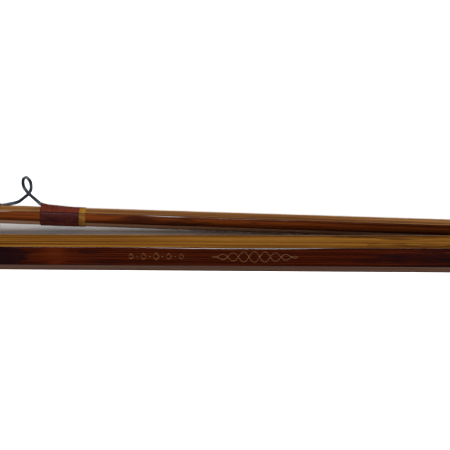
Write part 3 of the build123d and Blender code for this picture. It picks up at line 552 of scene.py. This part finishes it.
def joined(name, section, parts, shade_lift=0.0):
    """One object of several separate meshes of thread, with a painted light number for each point: painted
    shade by the strip under it and a darker line along each corner; a share given as the last argument takes
    part of that shade away.
    """
    piece, points = merged(name, section, parts, 75.0)
    sixths = (np.degrees(np.arctan2(points[:, 2], points[:, 1])) - 90.0) / 60.0  # round the cane
    strip, off = np.round(sixths).astype(int) % 6, np.abs(sixths - np.round(sixths)) * 2
    # Painted shade by strip, and darker along each corner of the cane.
    light = np.array(SILK_PAINTED_LIGHT[section.name])[strip] * (1.0 - 0.7 * np.clip(off * 6 - 5, 0, 1))
    store(piece.data, "beneath", shade_lift + (1 - shade_lift) * light)
    return piece


def silk(name, section, parts, node):
    """Windings of silk, as one piece."""
    finish_piece(joined(name, section, parts), node)


def over_foot(section, middle, size):
    """The outline under a winding at each station: the cane and a guide's foot."""
    shift = section.flats(middle) / 2 * tan(GUIDE_TURN)

    def outline(station):
        flats = section.flats(station)
        points = cane_outline(flats)
        reach = abs(station - middle)
        if reach < FOOT_END * size:
            top = flats / 2 + GAP + foot_height(reach, size)
            half = FOOT_HALF_WIDTH * min(1.0, 0.75 + 0.25 * (FOOT_END * size - reach))
            points = np.r_[points, [(-shift - half, top - 0.12), (-shift + half, top - 0.12),
                                    (-shift - 0.5 * half, top), (-shift + 0.5 * half, top)]]
        return points

    return outline


def bare(section):
    """The outline under a winding with nothing but cane below it."""
    return lambda station: cane_outline(section.flats(station))


# ---------------- guides
# The wire of a guide of size 1, from its middle to where each foot starts: (along the rod, across, up)
HALF_LOOP = ((-0.15, 0.75, 7.85), (-0.74, 2.05, 7.15), (-0.82, 2.55, 5.50), (-0.25, 2.50, 4.15))
NEAR_LEG = ((1.15, 1.50, 2.75), (2.65, 0.42, 1.60), (3.80, 0.02, 0.60), (5.2, 0.0, 0.43))
FAR_LEG = ((1.10, 1.55, 2.75), (2.40, 0.60, 1.42), (4.00, 0.10, 0.86), (5.9, 0.0, 0.43))
FOOT_LINE = ((7.0, 0.27), (9.0, 0.2), (11.0, 0.12), (FOOT_END, 0.06))  # (along the rod, up)


def smooth_path(points, steps=10):
    """A smooth curve near a run of points, tangent to the first and last runs."""
    points = np.asarray(points, float)
    out = [points[0]]
    for k in range(1, len(points) - 1):
        a = points[0] if k == 1 else (points[k - 1] + points[k]) / 2
        b = points[-1] if k == len(points) - 2 else (points[k] + points[k + 1]) / 2
        for t in np.linspace(0, 1, steps + 1)[1:]:
            out.append((1 - t) ** 2 * a + 2 * t * (1 - t) * points[k] + t * t * b)
    return np.array(out)


def swept(path, halves, square, sides=20, first_side=(0.0, 1.0, 0.0)):
    """Rows of points of a bar along a path, which keeps its width level at both ends.

    halves are its half width and half thickness at each point; square is 1 for a round section, less for a
    squarer one.
    """
    along = np.gradient(path, axis=0)
    along /= np.linalg.norm(along, axis=1)[:, None]
    side = np.array(first_side, float)
    sides_at = []
    for t in along:
        side = side - side.dot(t) * t
        side /= np.linalg.norm(side)
        sides_at.append(side)
    sides_at = np.array(sides_at)
    last = sides_at[-1]
    wanted = np.array(first_side, float)
    up = np.cross(along[-1], wanted)
    twist = atan2(last.dot(up), last.dot(wanted))
    loop = np.clip((np.arange(len(path)) / (len(path) - 1) - 0.3) / 0.4, 0, 1)
    turn = np.linspace(0, 2 * pi, sides, endpoint=False)
    rows = []
    for p, t, u, (a, b), q, share in zip(path, along, sides_at, halves, square, loop):
        v = np.cross(t, u)
        back = -twist * share
        u, v = cos(back) * u + sin(back) * v, cos(back) * v - sin(back) * u
        c, s = np.cos(turn), np.sin(turn)
        x = a * np.sign(c) * np.abs(c) ** q
        y = b * np.sign(s) * np.abs(s) ** q
        rows.append(p + x[:, None] * u + y[:, None] * v)
    return np.array(rows)


def snake_guide(section, number, station, size):
    """A loop of round wire whose ends are hammered and ground into two tapering feet."""
    wire_r = 0.24 + 0.21 * size
    base, shift = section.flats(station) / 2 + GAP, section.flats(station) / 2 * tan(GUIDE_TURN)
    foot = [(a * size, 0.0, h) for a, h in FOOT_LINE]
    near, far = ([(a * size, w * size, h * size) for a, w, h in HALF_LOOP + leg] + foot
                 for leg in (NEAR_LEG, FAR_LEG))
    points = [(-a, -w, h) for a, w, h in reversed(far)] + near
    lean_c, lean_s = cos(GUIDE_TURN), sin(GUIDE_TURN)
    path = smooth_path([(station + a - LEAN_BACK * max(h - wire_r, 0), -(w * lean_c + h * lean_s) - shift,
                         h * lean_c - w * lean_s + base) for a, w, h in points])
    reach = np.abs(path[:, 0] - station) / size
    reach[len(reach) // 4: -(len(reach) // 4)] = 0.0  # the loop stays round wire
    flat = np.clip((reach - 4.4) / 2.2, 0, 1)
    tipward = np.clip((reach - 7.0) / (FOOT_END - 7.0), 0, 1)
    wide = wire_r + flat * (0.45 + 0.05 * size - wire_r) - tipward * 0.18
    thick = wire_r - flat * (wire_r - 0.26) - tipward * 0.2
    rows = swept(path, np.stack([wide, np.maximum(thick, 0.05)], axis=1), 1.0 - 0.35 * flat)
    piece = add_mesh(f"{section.name}_guide_wire_{number}", rows.reshape(-1, 3), tube_faces(*rows.shape[:2]),
                     section.matrix, sharp=60.0)
    finish_piece(piece, f"{section.name}_snake_guide_{number}")


# ---------------- the rod's own materials
# Canes: the colours of their palest, middle and darkest wood and of their char, varnish, how slow to char
CANES = {name: cane_material(f"cane_{name}", *values) for name, *values in (
    ("honey", (0.136, 0.060, 0.0094), (0.085, 0.033, 0.0045), (0.037, 0.0115, 0.0013), (0.020, 0.006, 0.001),
     0.4, 0.80),
    ("toffee", (0.150, 0.072, 0.026), (0.090, 0.038, 0.012), (0.042, 0.014, 0.004), (0.014, 0.004, 0.002),
     0.25, 0.66),
    ("russet", (0.058, 0.0135, 0.0022), (0.030, 0.0054, 0.0009), (0.013, 0.0022, 0.0006),
     (0.007, 0.0015, 0.001), 0.14, 0.62),
    ("brown", (0.026, 0.0042, 0.0008), (0.0125, 0.0015, 0.0003), (0.0045, 0.0006, 0.0002),
     (0.0022, 0.0008, 0.0013), 0.4, 0.66),
    ("under", (0.042, 0.020, 0.012), (0.028, 0.012, 0.007), (0.015, 0.006, 0.004), (0.008, 0.003, 0.002),
     0.03, 0.66),
    ("pale_under", (0.21, 0.110, 0.058), (0.14, 0.066, 0.034), (0.07, 0.029, 0.013), (0.03, 0.01, 0.004),
     0.3, 0.70))}
walnut = seat_wood()
MATERIALS = {
    "wine_thread": thread_material("wine_silk", (0.074, 0.0155, 0.0085), (0.042, 0.007, 0.005), 0.018),
    "gold_thread": thread_material("gold_silk", (0.16, 0.074, 0.012), (0.078, 0.030, 0.0042), 0.02),
    "blued_steel": blued_steel(), "nickel_silver": nickel_silver(), "agate": agate(), "cork": cork(),
    "seat_wood": walnut, "seal": walnut, "cane": CANES["honey"],
}
# Each strip's cane is picked by which way it faces, which paints light and shade into its colour: the strip
# that faces the front is dark brown on the butt and russet on the tip, the butt's underside is darker, and
# the tip's underside is paler to take out the butt's shadow on it.
STRIPS = {"butt": ("toffee", "honey", "brown", "under", "honey", "toffee"),
          "tip": ("honey", "toffee", "russet", "pale_under", "honey", "toffee")}


def cane_and_snake_guides():
    for section in (butt, tip):
        for index, cane in enumerate(STRIPS[section.name]):
            first = FIRST_KNOT[section.name] + KNOT_SPACING / 6 * ((index * 2) % 6)
            knots = np.arange(first, section.cane[1] - 20, KNOT_SPACING)
            cane_strip(section, index, knots, CANES[cane])
    for section, guides in ((butt, BUTT_GUIDES), (tip, TIP_GUIDES)):
        bands = [winding(section, start, end, bare(section), BAND_THREAD)
                 for start, end in OTHER_BANDS[section.name]]
        for number, (station, size) in enumerate(guides, 1):
            snake_guide(section, number, station, size)
            wraps = []
            for side, begin in zip((-1, 1), WRAP_STARTS):
                near, far = station + begin * size, station + (begin + side * WRAP_LENGTH) * size
                wraps.append(winding(section, *sorted((near, far)), over_foot(section, station, size)))
                band = sorted((far, far + side * BAND_LENGTH))
                bands.append(winding(section, *band, bare(section), BAND_THREAD))
            silk(f"{section.name}_silk_{number}", section, wraps, f"{section.name}_guide_{number}_wraps")
        # The gold bands get the same painted shade by strip, lessened by 0.35 of it.
        tipping = joined(f"{section.name}_tipping", section, bands, shade_lift=0.35)
        finish_piece(tipping, f"{section.name}_gold_bands")


# ---------------- turned and bent metal, agate, cork and wood
def eased(corners, ease=0.12, steps=4, closed=True):
    """An outline with its corners rounded; a corner may carry its own rounding as a third number."""
    out, count = [], len(corners)
    for k, corner in enumerate(corners):
        x, r, own = (*corner, ease)[:3]
        here = np.array((x, r), float)
        if not closed and k in (0, count - 1):
            out.append(here)
            continue
        back, on = np.array(corners[k - 1][:2]) - here, np.array(corners[(k + 1) % count][:2]) - here
        own = min(own, 0.45 * np.linalg.norm(back), 0.45 * np.linalg.norm(on))
        a, b = here + back / np.linalg.norm(back) * own, here + on / np.linalg.norm(on) * own
        out += [(1 - t) ** 2 * a + 2 * t * (1 - t) * here + t * t * b for t in np.linspace(0, 1, steps + 1)]
    return np.array(out)


def turned(outline, around=96, closed=True, height=0.0):
    """A lathe-turned part from its (station, radius) outline."""
    outline = np.asarray(outline)
    return shell(outline[:, 0], outline[:, 1], round_angles(around), closed, height)


def skin(rows, angles, closed=True):
    """A shell from (station, radius) rows, where a radius is one number or one for each angle."""
    radii = [np.broadcast_to(np.asarray(radius, float), angles.shape) for _, radius in rows]
    return shell([station for station, _ in rows], radii, angles, closed)


def bar(path, halves, square, sides=16, first_side=(0.0, 1.0, 0.0)):
    """A swept bar with the same section all along, or one section for each point."""
    halves = np.broadcast_to(np.asarray(halves, float), (len(path), 2))
    rows = swept(np.asarray(path, float), halves, np.broadcast_to(square, (len(path),)), sides, first_side)
    return rows.reshape(-1, 3), tube_faces(*rows.shape[:2]), rows.reshape(-1, 3)


def hoop(centre, axis, ring_r, wire_r, around=72, sides=20):
    """A round wire ring."""
    axis = Vector(axis).normalized()
    first = axis.orthogonal().normalized()
    second = axis.cross(first)
    rows = []
    for a in round_angles(around):
        out = first * cos(a) + second * sin(a)
        rows.append([Vector(centre) + out * (ring_r + wire_r * cos(b)) - axis * (wire_r * sin(b))
                     for b in round_angles(sides)])
    rows = np.array(rows)
    return rows.reshape(-1, 3), tube_faces(around, sides, around=True), rows.reshape(-1, 3)


def fit_piece(name, parts, node, section=butt, sharp=38.0, slot=None):
    piece, _ = merged(name, section, parts, sharp, weld=True)
    finish_piece(piece, node, slot=slot)


def ferrules():
    """The female ferrule with its rolled welt, the male ferrule, and the silk over their thinned edges."""
    bore, cane, outer = 2.58, 2.75, 3.0
    female = eased([(0, bore, 0.08), (0, outer, 0.05), (4.2, outer), (4.35, outer - 0.05), (4.5, outer),
                    (40, outer), (40.15, outer - 0.05), (40.3, outer), (44, outer, 1.0), (52, 2.89, 0.05),
                    (52, cane, 0.03), (29, cane, 0.05), (29, bore, 0.05)], 0.05)
    fit_piece("female_ferrule_tube", [turned(female)], "female_ferrule")
    welt_r = 3.6
    welt = eased([(0, outer - 0.01), (0, welt_r, 0.3), (1.1, welt_r), (1.3, welt_r - 0.1), (1.5, welt_r),
                  (3, welt_r, 0.3), (3, outer - 0.01)], 0.06)
    fit_piece("ferrule_welt_ring", [turned(welt)], "ferrule_welt")
    pin, tenon, barrel = 2.55, 2.3, 2.95
    male = eased([(1207, 0.3), (1207, 2.1), (1180, 2.1), (1180, tenon), (1158, tenon), (1158, 2.44),
                  (1166, barrel, 1.0), (1177.2, barrel), (1177.35, barrel - 0.05), (1177.5, barrel),
                  (1180, barrel, 0.2), (1180, pin, 0.1), (1208, pin, 0.8), (1208, 0.3)], 0.05, closed=False)
    fit_piece("male_ferrule_pin", [turned(male, closed=False)], "male_ferrule", section=tip)
    # Section, where the silk starts and ends, how far inside the metal a station is, its radius, its thinning
    for section, start, end, inside_at, full, thinned in (
            (butt, 43.0, 62.0, lambda s: 52.0 - s, outer, 0.11),
            (tip, 1147.0, 1168.0, lambda s: s - 1158.0, barrel, 0.51)):

        def outline(station):
            inside = inside_at(station)
            metal = full - thinned * max(0.0, 8.0 - inside) / 8.0
            ring = [(metal * cos(a), metal * sin(a)) for a in round_angles(48)] if inside >= -0.3 else []
            return np.array([*ring, *(cane_outline(section.flats(station)) if inside < 0.5 else [])])

        def inner(station):
            return full - 0.02 if inside_at(station) > 0 else section.flats(station) / 2 - 0.05

        silk(f"{section.name}_ferrule_silk", section, [winding(section, start, end, outline, inner_at=inner)],
             f"{section.name}_ferrule_wrap")


def tip_top():
    """The tube that caps the tip section, and its leaning wire ring."""
    tube = [(1.1, 0.2), (1.1, 1.15, 0.6), (9, 1.15, 0.5), (10, 1.1, 0.05), (10, 0.8, 0.03), (2.6, 0.8),
            (2.6, 0.2)]
    tube = turned(eased(tube, 0.05, closed=False), 64, closed=False)
    fit_piece("tip_top_socket", [tube], "tip_top_tube", section=tip)
    lean, ring_r, wire_r = radians(35), 2.2, 0.38
    centre = (1.5, 0, 1.15 + wire_r - 0.1 + ring_r * cos(lean))
    loop = hoop(centre, (cos(lean), 0, sin(lean)), ring_r, wire_r)
    fit_piece("tip_top_loop", [loop], "tip_top_ring", section=tip, sharp=80.0)
    silk("tip_top_silk", tip, [winding(tip, 10.0, 22.0, bare(tip), BAND_THREAD)], "tip_top_wrap")


def wraps_over_feet(middle, reaches, half, raised_at):
    """The two windings over the flat feet of a butt fitting, which are this half width and height."""
    def outline(station):
        flats = butt.flats(station)
        top = flats / 2 + max(raised_at(abs(station - middle)), 0.01)
        corners = [(-half, top), (half, top), (-half - 0.12, top - 0.15), (half + 0.12, top - 0.15)]
        return np.r_[cane_outline(flats), corners]

    return [winding(butt, *sorted(middle + side * reach for reach in reaches), outline) for side in (-1, 1)]


def stripping_guide():
    """An agate ring in a band on four bent legs, whose two feet are bound to the cane."""
    at = STRIPPING_STATION
    base, centre = butt.flats(at + 20) / 2 + GAP, butt.flats(at) / 2 + 10.8
    band = eased([(at - 0.9, 5.35), (at - 0.9, 5.9, 0.3), (at + 0.9, 5.9, 0.3), (at + 0.9, 5.35)], 0.05)
    parts = [turned(band, height=centre)]
    for side in (-1, 1):
        for hand in (-1, 1):
            held = radians(90 + hand * 118)  # where the leg meets the band
            y, z = 5.85 * cos(held), 5.85 * sin(held)
            legs = [(at + 0.2 * side, y, centre + z), (at + 2.6 * side, y * 0.84, base + 4.4),
                    (at + 6.2 * side, y * 0.28, base + 1.6), (at + 9.4 * side, -0.38 * hand, base + 0.53),
                    (at + 11.5 * side, -0.38 * hand, base + 0.52)]
            parts.append(bar(smooth_path(legs), (0.5, 0.5), 1.0))
        foot = np.array([(9.2, 1.75, 1.02), (11.0, 1.78, 0.82), (13.0, 1.80, 0.60), (16.0, 1.45, 0.38),
                         (19.0, 1.10, 0.16)])  # (distance from the middle, width, thickness)
        path = [(at + side * reach, 0, base + thick / 2) for reach, _, thick in foot]
        parts.append(bar(path, foot[:, 1:] / 2, 0.45))
    fit_piece("stripping_guide_wires", parts, "stripping_guide_frame", sharp=60.0)
    lips = [(1.3 * sin(a), 4.8 - 0.7 * cos(a)) for a in np.linspace(pi / 2, -pi / 2, 13)]
    ring = eased([(-1.3, 5.34, 0.15), (1.3, 5.34, 0.15), *lips], 0.05)
    agate_ring = turned(ring + (at, 0), height=centre)
    fit_piece("stripping_guide_agate", [agate_ring], "stripping_guide_ring", sharp=60.0)
    wraps = wraps_over_feet(at, STRIPPING_WRAP, 0.85,
                            lambda reach: 1.0 - 0.1 * (reach - 9.2) if reach < 19.2 else 0.0)
    silk("stripping_guide_silk", butt, wraps, "stripping_guide_wraps")


def hook_keeper():
    """A strap bent over a loose ring, in front of the grip."""
    base = butt.flats(KEEPER_STATION) / 2 + GAP
    arch = [(0.825 * cos(a), 1.15 + 0.825 * sin(a)) for a in np.linspace(pi, 0, 15)]
    side = [(-9.0, 0.175), (-6.0, 0.175), (-2.2, 0.175), (-1.15, 0.18), (-0.93, 0.27), (-0.83, 0.5),
            (-0.825, 0.8)]
    run = [*side, *arch, *((-x, h) for x, h in reversed(side))]
    path = [(KEEPER_STATION + x, 0, base + h) for x, h in run]
    strap = bar(path, (0.8, 0.17), 0.35)
    fit_piece("keeper_strap", [strap], "keeper_saddle", sharp=50.0, slot="nickel_silver")
    ring_r, wire_r = 3.2, 0.45
    ring = hoop((KEEPER_STATION - ring_r, 0, base + 1.15), (0, 0, 1), ring_r, wire_r)
    fit_piece("keeper_loop", [ring], "keeper_ring", sharp=80.0, slot="nickel_silver")
    wraps = wraps_over_feet(KEEPER_STATION, KEEPER_WRAP, 0.72, lambda reach: 0.38 if reach < 9.0 else 0.01)
    silk("keeper_silk", butt, wraps, "keeper_wraps")


GRIP, CORK_RINGS = (927.0, 1087.0), 13
GRIP_PROFILE = ((0, 7.9), (0.09, 9.0), (0.32, 11.6), (0.545, 13.0), (0.76, 12.3), (0.92, 10.9), (1, 10.5))


def grip_radius(stations):
    """A natural cubic spline through the grip's profile."""
    xs = np.array([GRIP[0] + (GRIP[1] - GRIP[0]) * share for share, _ in GRIP_PROFILE])
    rs = np.array([radius for _, radius in GRIP_PROFILE])
    step = np.diff(xs)
    bend = np.eye(len(xs))
    pull = np.zeros(len(xs))
    for k in range(1, len(xs) - 1):
        bend[k, k - 1:k + 2] = step[k - 1], 2 * (step[k - 1] + step[k]), step[k]
        pull[k] = 6 * ((rs[k + 1] - rs[k]) / step[k] - (rs[k] - rs[k - 1]) / step[k - 1])
    curve = np.linalg.solve(bend, pull)
    k = np.clip(np.searchsorted(xs, stations, "right") - 1, 0, len(xs) - 2)
    a, b = xs[k + 1] - stations, stations - xs[k]
    return ((curve[k] * a ** 3 + curve[k + 1] * b ** 3) / (6 * step[k])
            + (rs[k] / step[k] - curve[k] * step[k] / 6) * a
            + (rs[k + 1] / step[k] - curve[k + 1] * step[k] / 6) * b)


def grip():
    """The winding check and the glued cork rings, each with its own grain and sanded pits."""
    bore = butt.flats(GRIP[0]) / sqrt(3) + 0.05
    front = GRIP[0] - 5.0
    root, shoulder, rim = (np.array(p) for p in ((front, bore + 0.5), (front + 1.9, 7.93), (GRIP[0], 8.1)))
    nose = [(1 - t) ** 2 * root + 2 * t * (1 - t) * shoulder + t * t * rim for t in np.linspace(0, 1, 12)]
    check = eased([(GRIP[0], bore, 0.02), (front, bore, 0.02), *nose], 0.04)
    fit_piece("winding_check_cup", [turned(check)], "winding_check", sharp=50.0)
    angles = round_angles(220)
    length = (GRIP[1] - GRIP[0]) / CORK_RINGS
    for k in range(CORK_RINGS):
        stations = np.linspace(GRIP[0] + length * k, GRIP[0] + length * (k + 1), 30)
        surface = np.repeat(grip_radius(stations)[:, None], len(angles), axis=1)
        ends = np.minimum(stations - stations[0], stations[-1] - stations)
        for row, (station, end) in enumerate(zip(stations, ends)):
            for column, angle in enumerate(angles):
                r = surface[row, column]
                at = Vector((station * 0.42, r * cos(angle) * 0.9, r * sin(angle) * 0.9 + 40.0 * k))
                pit = max(0.0, noise.noise(at) - 0.30) * 0.9 + max(0.0, noise.noise(at * 2.9) - 0.38) * 0.45
                surface[row, column] = r - min(pit, 0.32) - 0.02 * noise.noise(at * 1.7)
            surface[row] -= 0.09 * bell(end, 0.16)  # the glue line at each end
        inside = butt.flats(GRIP[1]) / sqrt(3) + 0.02
        wall = np.full((1, len(angles)), inside)
        part = shell([stations[0], *stations, stations[-1]], np.concatenate([wall, surface, wall]), angles,
                     seed=float(k))
        fit_piece(f"cork_ring_{k + 1}", [part], "cork_grip_rings", sharp=60.0)


# Stations and radii of the reel seat
BARREL, BARREL_R, BARREL_BORE, RIDGE, PITCH = (1090.0, 1108.0), 8.4, 7.6, 0.35, 1.0
NUT, NUT_R, NUT_BORE, FLUTES = (1091.0, 1097.96), 10.8, 8.81, 36
HOOD, HOOD_R, HOOD_BORE = (1098.0, 1112.0), 10.2, 8.85
CAP = (1156.0, 1182.0)
SPACER_R, SPACER_FLAT = 8.4, 7.4


def reel_seat():
    """Collar, threaded barrel, lock nut, sliding hood, wooden spacer and butt cap."""
    start, end, outer = GRIP[1], BARREL[0], 10.9
    collar = eased([(start, BARREL_BORE), (start, outer, 0.7), (start + 1.3, outer),
                    (start + 1.5, outer - 0.15), (start + 1.7, outer), (end, outer, 0.7), (end, BARREL_BORE)],
                   0.06)
    fit_piece("collar_ring", [turned(collar)], "seat_collar")

    angles = round_angles(120)
    stations = np.linspace(*BARREL, 181)
    winds = (stations[:, None] - BARREL[0] - angles / (2 * pi)) % PITCH
    thread = BARREL_R + RIDGE * np.clip(1.35 * (1 - np.abs(2 * winds - 1)) - 0.12, 0, 1)
    ends = np.minimum(stations - stations[0], stations[-1] - stations)
    thread = np.minimum(thread, BARREL_R + RIDGE * np.clip(ends[:, None] / 0.6, 0, 1))
    rows = [*zip(stations, thread), (BARREL[1], BARREL_BORE), (BARREL[0], BARREL_BORE)]
    fit_piece("barrel_thread", [skin(rows, angles)], "threaded_barrel", sharp=30.0)

    angles = round_angles(FLUTES * 14)
    outline = eased([(NUT[0], NUT_BORE, 0.15), (NUT[0], NUT_R, 0.5), (NUT[1], NUT_R, 0.5),
                     (NUT[1], NUT_BORE, 0.15)], 0.1, 5)
    outline = np.array([p for a, b in zip(outline, np.roll(outline, -1, axis=0)) for p in
                        ([a] if abs(a[0] - b[0]) < 2 or a[1] < 9.5 else np.linspace(a, b, 24)[:-1])])
    aside = ((angles + pi / FLUTES) % (2 * pi / FLUTES) - pi / FLUTES) * NUT_R
    flute = np.clip(np.sqrt(np.clip(0.55 ** 2 - aside ** 2, 0, None)) - 0.25, 0, None)
    share = np.clip(np.minimum(outline[:, 0] - NUT[0] - 0.9, NUT[1] - 0.9 - outline[:, 0]) / 0.35, 0, 1)
    radii = outline[:, 1:2] - flute[None] * share[:, None] * (outline[:, 1:2] > 10)
    fit_piece("lock_nut_fluted", [shell(outline[:, 0], radii, angles)], "lock_nut", sharp=32.0)

    # The hood and the cap have the same outline: a round tube with a box-shaped hump over the reel foot.
    angles = np.unique(np.concatenate([round_angles(180), np.radians(np.arange(40, 141, 0.5))]))

    def box_reach(half, top, corner):
        ring = [(-half, -half), (half, -half)]
        for side in (-1, 1):
            ring += [(side * (half - corner + corner * cos(a)), top - corner + corner * sin(a))
                     for a in np.linspace(0, pi / 2, 8)]
        return reach_of(hull(ring), angles)

    upper = np.sin(angles) > 0
    outer = np.maximum(HOOD_R, np.where(upper, box_reach(8.3, 12.9, 2.4), 0))
    within = upper & (np.abs(np.cos(angles)) < cos(radians(34.4)))
    pocket = np.maximum(HOOD_BORE, np.where(within, box_reach(7.3, 11.9, 1.6), 0))
    ease = 0.6
    rim = [(HOOD[0] + ease * (1 - cos(a)), outer - ease * (1 - sin(a))) for a in np.linspace(0, pi / 2, 7)]
    rows = [(HOOD[0] + 0.12, HOOD_BORE), (HOOD[0], HOOD_BORE + 0.12), *rim, (HOOD[1] - 0.12, outer),
            (HOOD[1], outer - 0.12), (HOOD[1], pocket + 0.1), (HOOD[1] - 0.1, pocket), (HOOD[0] + 3, pocket),
            (HOOD[0] + 3, HOOD_BORE)]
    fit_piece("sliding_hood_shell", [skin(rows, angles)], "sliding_hood", sharp=32.0)

    bore = SPACER_R + 0.02
    inside = np.maximum(bore, np.where(pocket > HOOD_BORE + 0.01, pocket, 0))
    quarter = np.linspace(pi / 2, 0, 6)
    hump_end = [(CAP[0] + 12 - ease * (1 - cos(a)), np.maximum(HOOD_R, outer - ease * (1 - sin(a))))
                for a in quarter]
    round_end = [(CAP[1] - 2.4 * (1 - cos(a)), 7.8 + 2.4 * sin(a)) for a in np.linspace(pi / 2, 0, 10)]
    rows = [(1178.02, 0.3), (1178.02, bore), (1166.0, bore), (1166.0, inside), (CAP[0] + 0.1, inside),
            (CAP[0], inside + 0.1), (CAP[0], outer - 0.12), (CAP[0] + 0.12, outer), *hump_end,
            (1168.0, HOOD_R), (1174.0, HOOD_R), (1174.15, HOOD_R - 0.08), (1174.3, HOOD_R), *round_end,
            (CAP[1], 6.2), (CAP[1] - 0.12, 6.1), (CAP[1], 6.0), (CAP[1], 0.3)]
    fit_piece("butt_cap_shell", [skin(rows, angles, closed=False)], "butt_cap", sharp=32.0)

    edge = np.arcsin(SPACER_FLAT / SPACER_R)
    angles = np.unique(np.concatenate([round_angles(120), [edge, pi - edge, edge + 0.02, pi - edge - 0.02]]))

    def flat(depth):
        return np.where(np.sin(angles) > depth / SPACER_R, depth / np.maximum(np.sin(angles), 0.1), SPACER_R)

    under_barrel, hole = BARREL_BORE - 0.02, 4.05
    rows = [(GRIP[1], hole), (GRIP[1], under_barrel), (BARREL[1], under_barrel), (BARREL[1], SPACER_R),
            (BARREL[1] + 1, SPACER_R), (BARREL[1] + 1, flat(SPACER_FLAT)),
            *((s, flat(SPACER_FLAT)) for s in np.arange(1112.0, CAP[0], 4.0)), (CAP[0], flat(SPACER_FLAT)),
            (CAP[0], flat(7.3)), (1166.0, flat(7.3)), (1166.0, SPACER_R), (1178.0, SPACER_R), (1178.0, hole)]
    fit_piece("spacer_wood", [skin(rows, angles)], "reel_seat_spacer", sharp=25.0)


cane_and_snake_guides()
ferrules()
tip_top()
stripping_guide()
hook_keeper()
grip()
reel_seat()

# ---------------- plain ornament, in place of a maker's writing
ORNAMENT_SIDE = radians(210)  # the flat it is drawn on


def drawn_line(points, radius):
    """A fine raised line on the butt's ornamented flat; points are (station, distance across the flat)."""
    normal = np.array((cos(ORNAMENT_SIDE), sin(ORNAMENT_SIDE)))
    across = np.array((-normal[1], normal[0]))
    path = [np.r_[x, normal * (butt.flats(x) / 2 + 0.008) + across * y] for x, y in points]
    return bar(path, (radius, radius * 0.5), 1.0, 8, (0, *across))


def ornament():
    """A row of lozenges with dashes between them, and an interlaced band."""
    lines = []
    for k in range(5):
        middle, size = 769.0 + 3.1 * k, 0.95 - 0.12 * abs(k - 2)
        corners = [(middle + size * cos(a) * 0.8, size * sin(a)) for a in np.linspace(0, 2 * pi, 5)]
        lozenge = [tuple(np.array(p) * (1 - t) + np.array(q) * t)
                   for p, q in zip(corners, corners[1:]) for t in np.linspace(0, 0.9, 6)] + [corners[0]]
        lines.append(drawn_line(lozenge, 0.032))
        if k < 4:
            lines.append(drawn_line([(middle + 1.35 + 0.08 * t, 0.0) for t in range(6)], 0.04))
    stations = np.linspace(789.0, 810.0, 200)
    swell = 1.35 * np.sin(pi * (stations - stations[0]) / (stations[-1] - stations[0])) ** 0.7
    for phase in (0.0, pi):
        lines.append(drawn_line(list(zip(stations, swell * np.sin(2 * pi * stations / 5.25 + phase))), 0.030))
    return lines


drawn = joined("gold_ornament", butt, ornament())
drawn.data.materials.append(gold_ink())
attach(drawn, "butt_section")

# ---------------- the CAD nodes that are carried over
for node, piece in frame["nodes"].items():
    piece.data.materials.clear()
    piece.data.materials.append(MATERIALS[SLOT_OF[node]])

# ---------------- floor, lights and camera
VIEW_STATION, VIEW_DISTANCE, VIEW_LIFT = 792.0, 500.0, 6.95
ELEVATION, ROLL = radians(34.0), 0.0125
LENS, SENSOR = 161.6, 36.0
HALF_FLOOR = 4.0

aim = butt.matrix @ Vector((VIEW_STATION, 0, 0))
forward = Vector((0, cos(ELEVATION), -sin(ELEVATION)))
up = Vector((0, sin(ELEVATION), cos(ELEVATION)))
right = forward.cross(up)
camera = bpy.data.objects.new("camera", bpy.data.cameras.new("camera"))
camera.data.lens, camera.data.sensor_width = LENS, SENSOR
camera.data.clip_start, camera.data.clip_end = 0.01, 50.0
rolled_right = cos(ROLL) * right + sin(ROLL) * up
rolled_up = cos(ROLL) * up - sin(ROLL) * right
eye = aim - forward * VIEW_DISTANCE * MM + up * VIEW_LIFT * MM
camera_turn = Matrix((rolled_right, rolled_up, -forward)).transposed().to_4x4()
camera.matrix_world = Matrix.Translation(eye) @ camera_turn
bpy.context.scene.collection.objects.link(camera)
bpy.context.scene.camera = camera

floor_mesh = bpy.data.meshes.new("floor")
floor_corners = [(x * HALF_FLOOR, y * HALF_FLOOR, 0) for x, y in ((-1, -1), (1, -1), (1, 1), (-1, 1))]
floor_mesh.from_pydata(floor_corners, [], [(0, 1, 2, 3)])
floor = bpy.data.objects.new("floor", floor_mesh)
bpy.context.scene.collection.objects.link(floor)
paper = Shader("paper")
paper.surface(Base_Color=(0.86, 0.86, 0.86, 1), Roughness=0.9, Specular_IOR_Level=0.0)
floor_mesh.materials.append(paper.material)


def soft_light(name, elevation, azimuth, distance, size, power):
    """An area light that faces the middle of the view; azimuth 0 is on the camera's side."""
    way = Vector((sin(azimuth) * cos(elevation), -cos(azimuth) * cos(elevation), sin(elevation)))
    lamp = bpy.data.lights.new(name, "AREA")
    lamp.shape, lamp.size, lamp.size_y = "RECTANGLE", size[0], size[1]
    lamp.energy = power
    holder = bpy.data.objects.new(name, lamp)
    facing = way.to_track_quat("Z", "Y").to_matrix().to_4x4()
    holder.matrix_world = Matrix.Translation(aim + way * distance) @ facing
    bpy.context.scene.collection.objects.link(holder)


soft_light("overhead", radians(84), 0.0, 1.6, (2.6, 1.3), 2.6)
soft_light("behind", radians(22), pi, 2.2, (2.6, 0.6), 140.0)
soft_light("front", radians(28.7), 0.0, 2.4, (1.7, 0.32), 156.0)

world = bpy.data.worlds.new("studio")
bpy.context.scene.world = world
world.use_nodes = True
background = world.node_tree.nodes["Background"].inputs
background["Color"].default_value = (1.0, 1.0, 1.0, 1)
background["Strength"].default_value = 0.05
bpy.context.scene.view_settings.view_transform = "Standard"
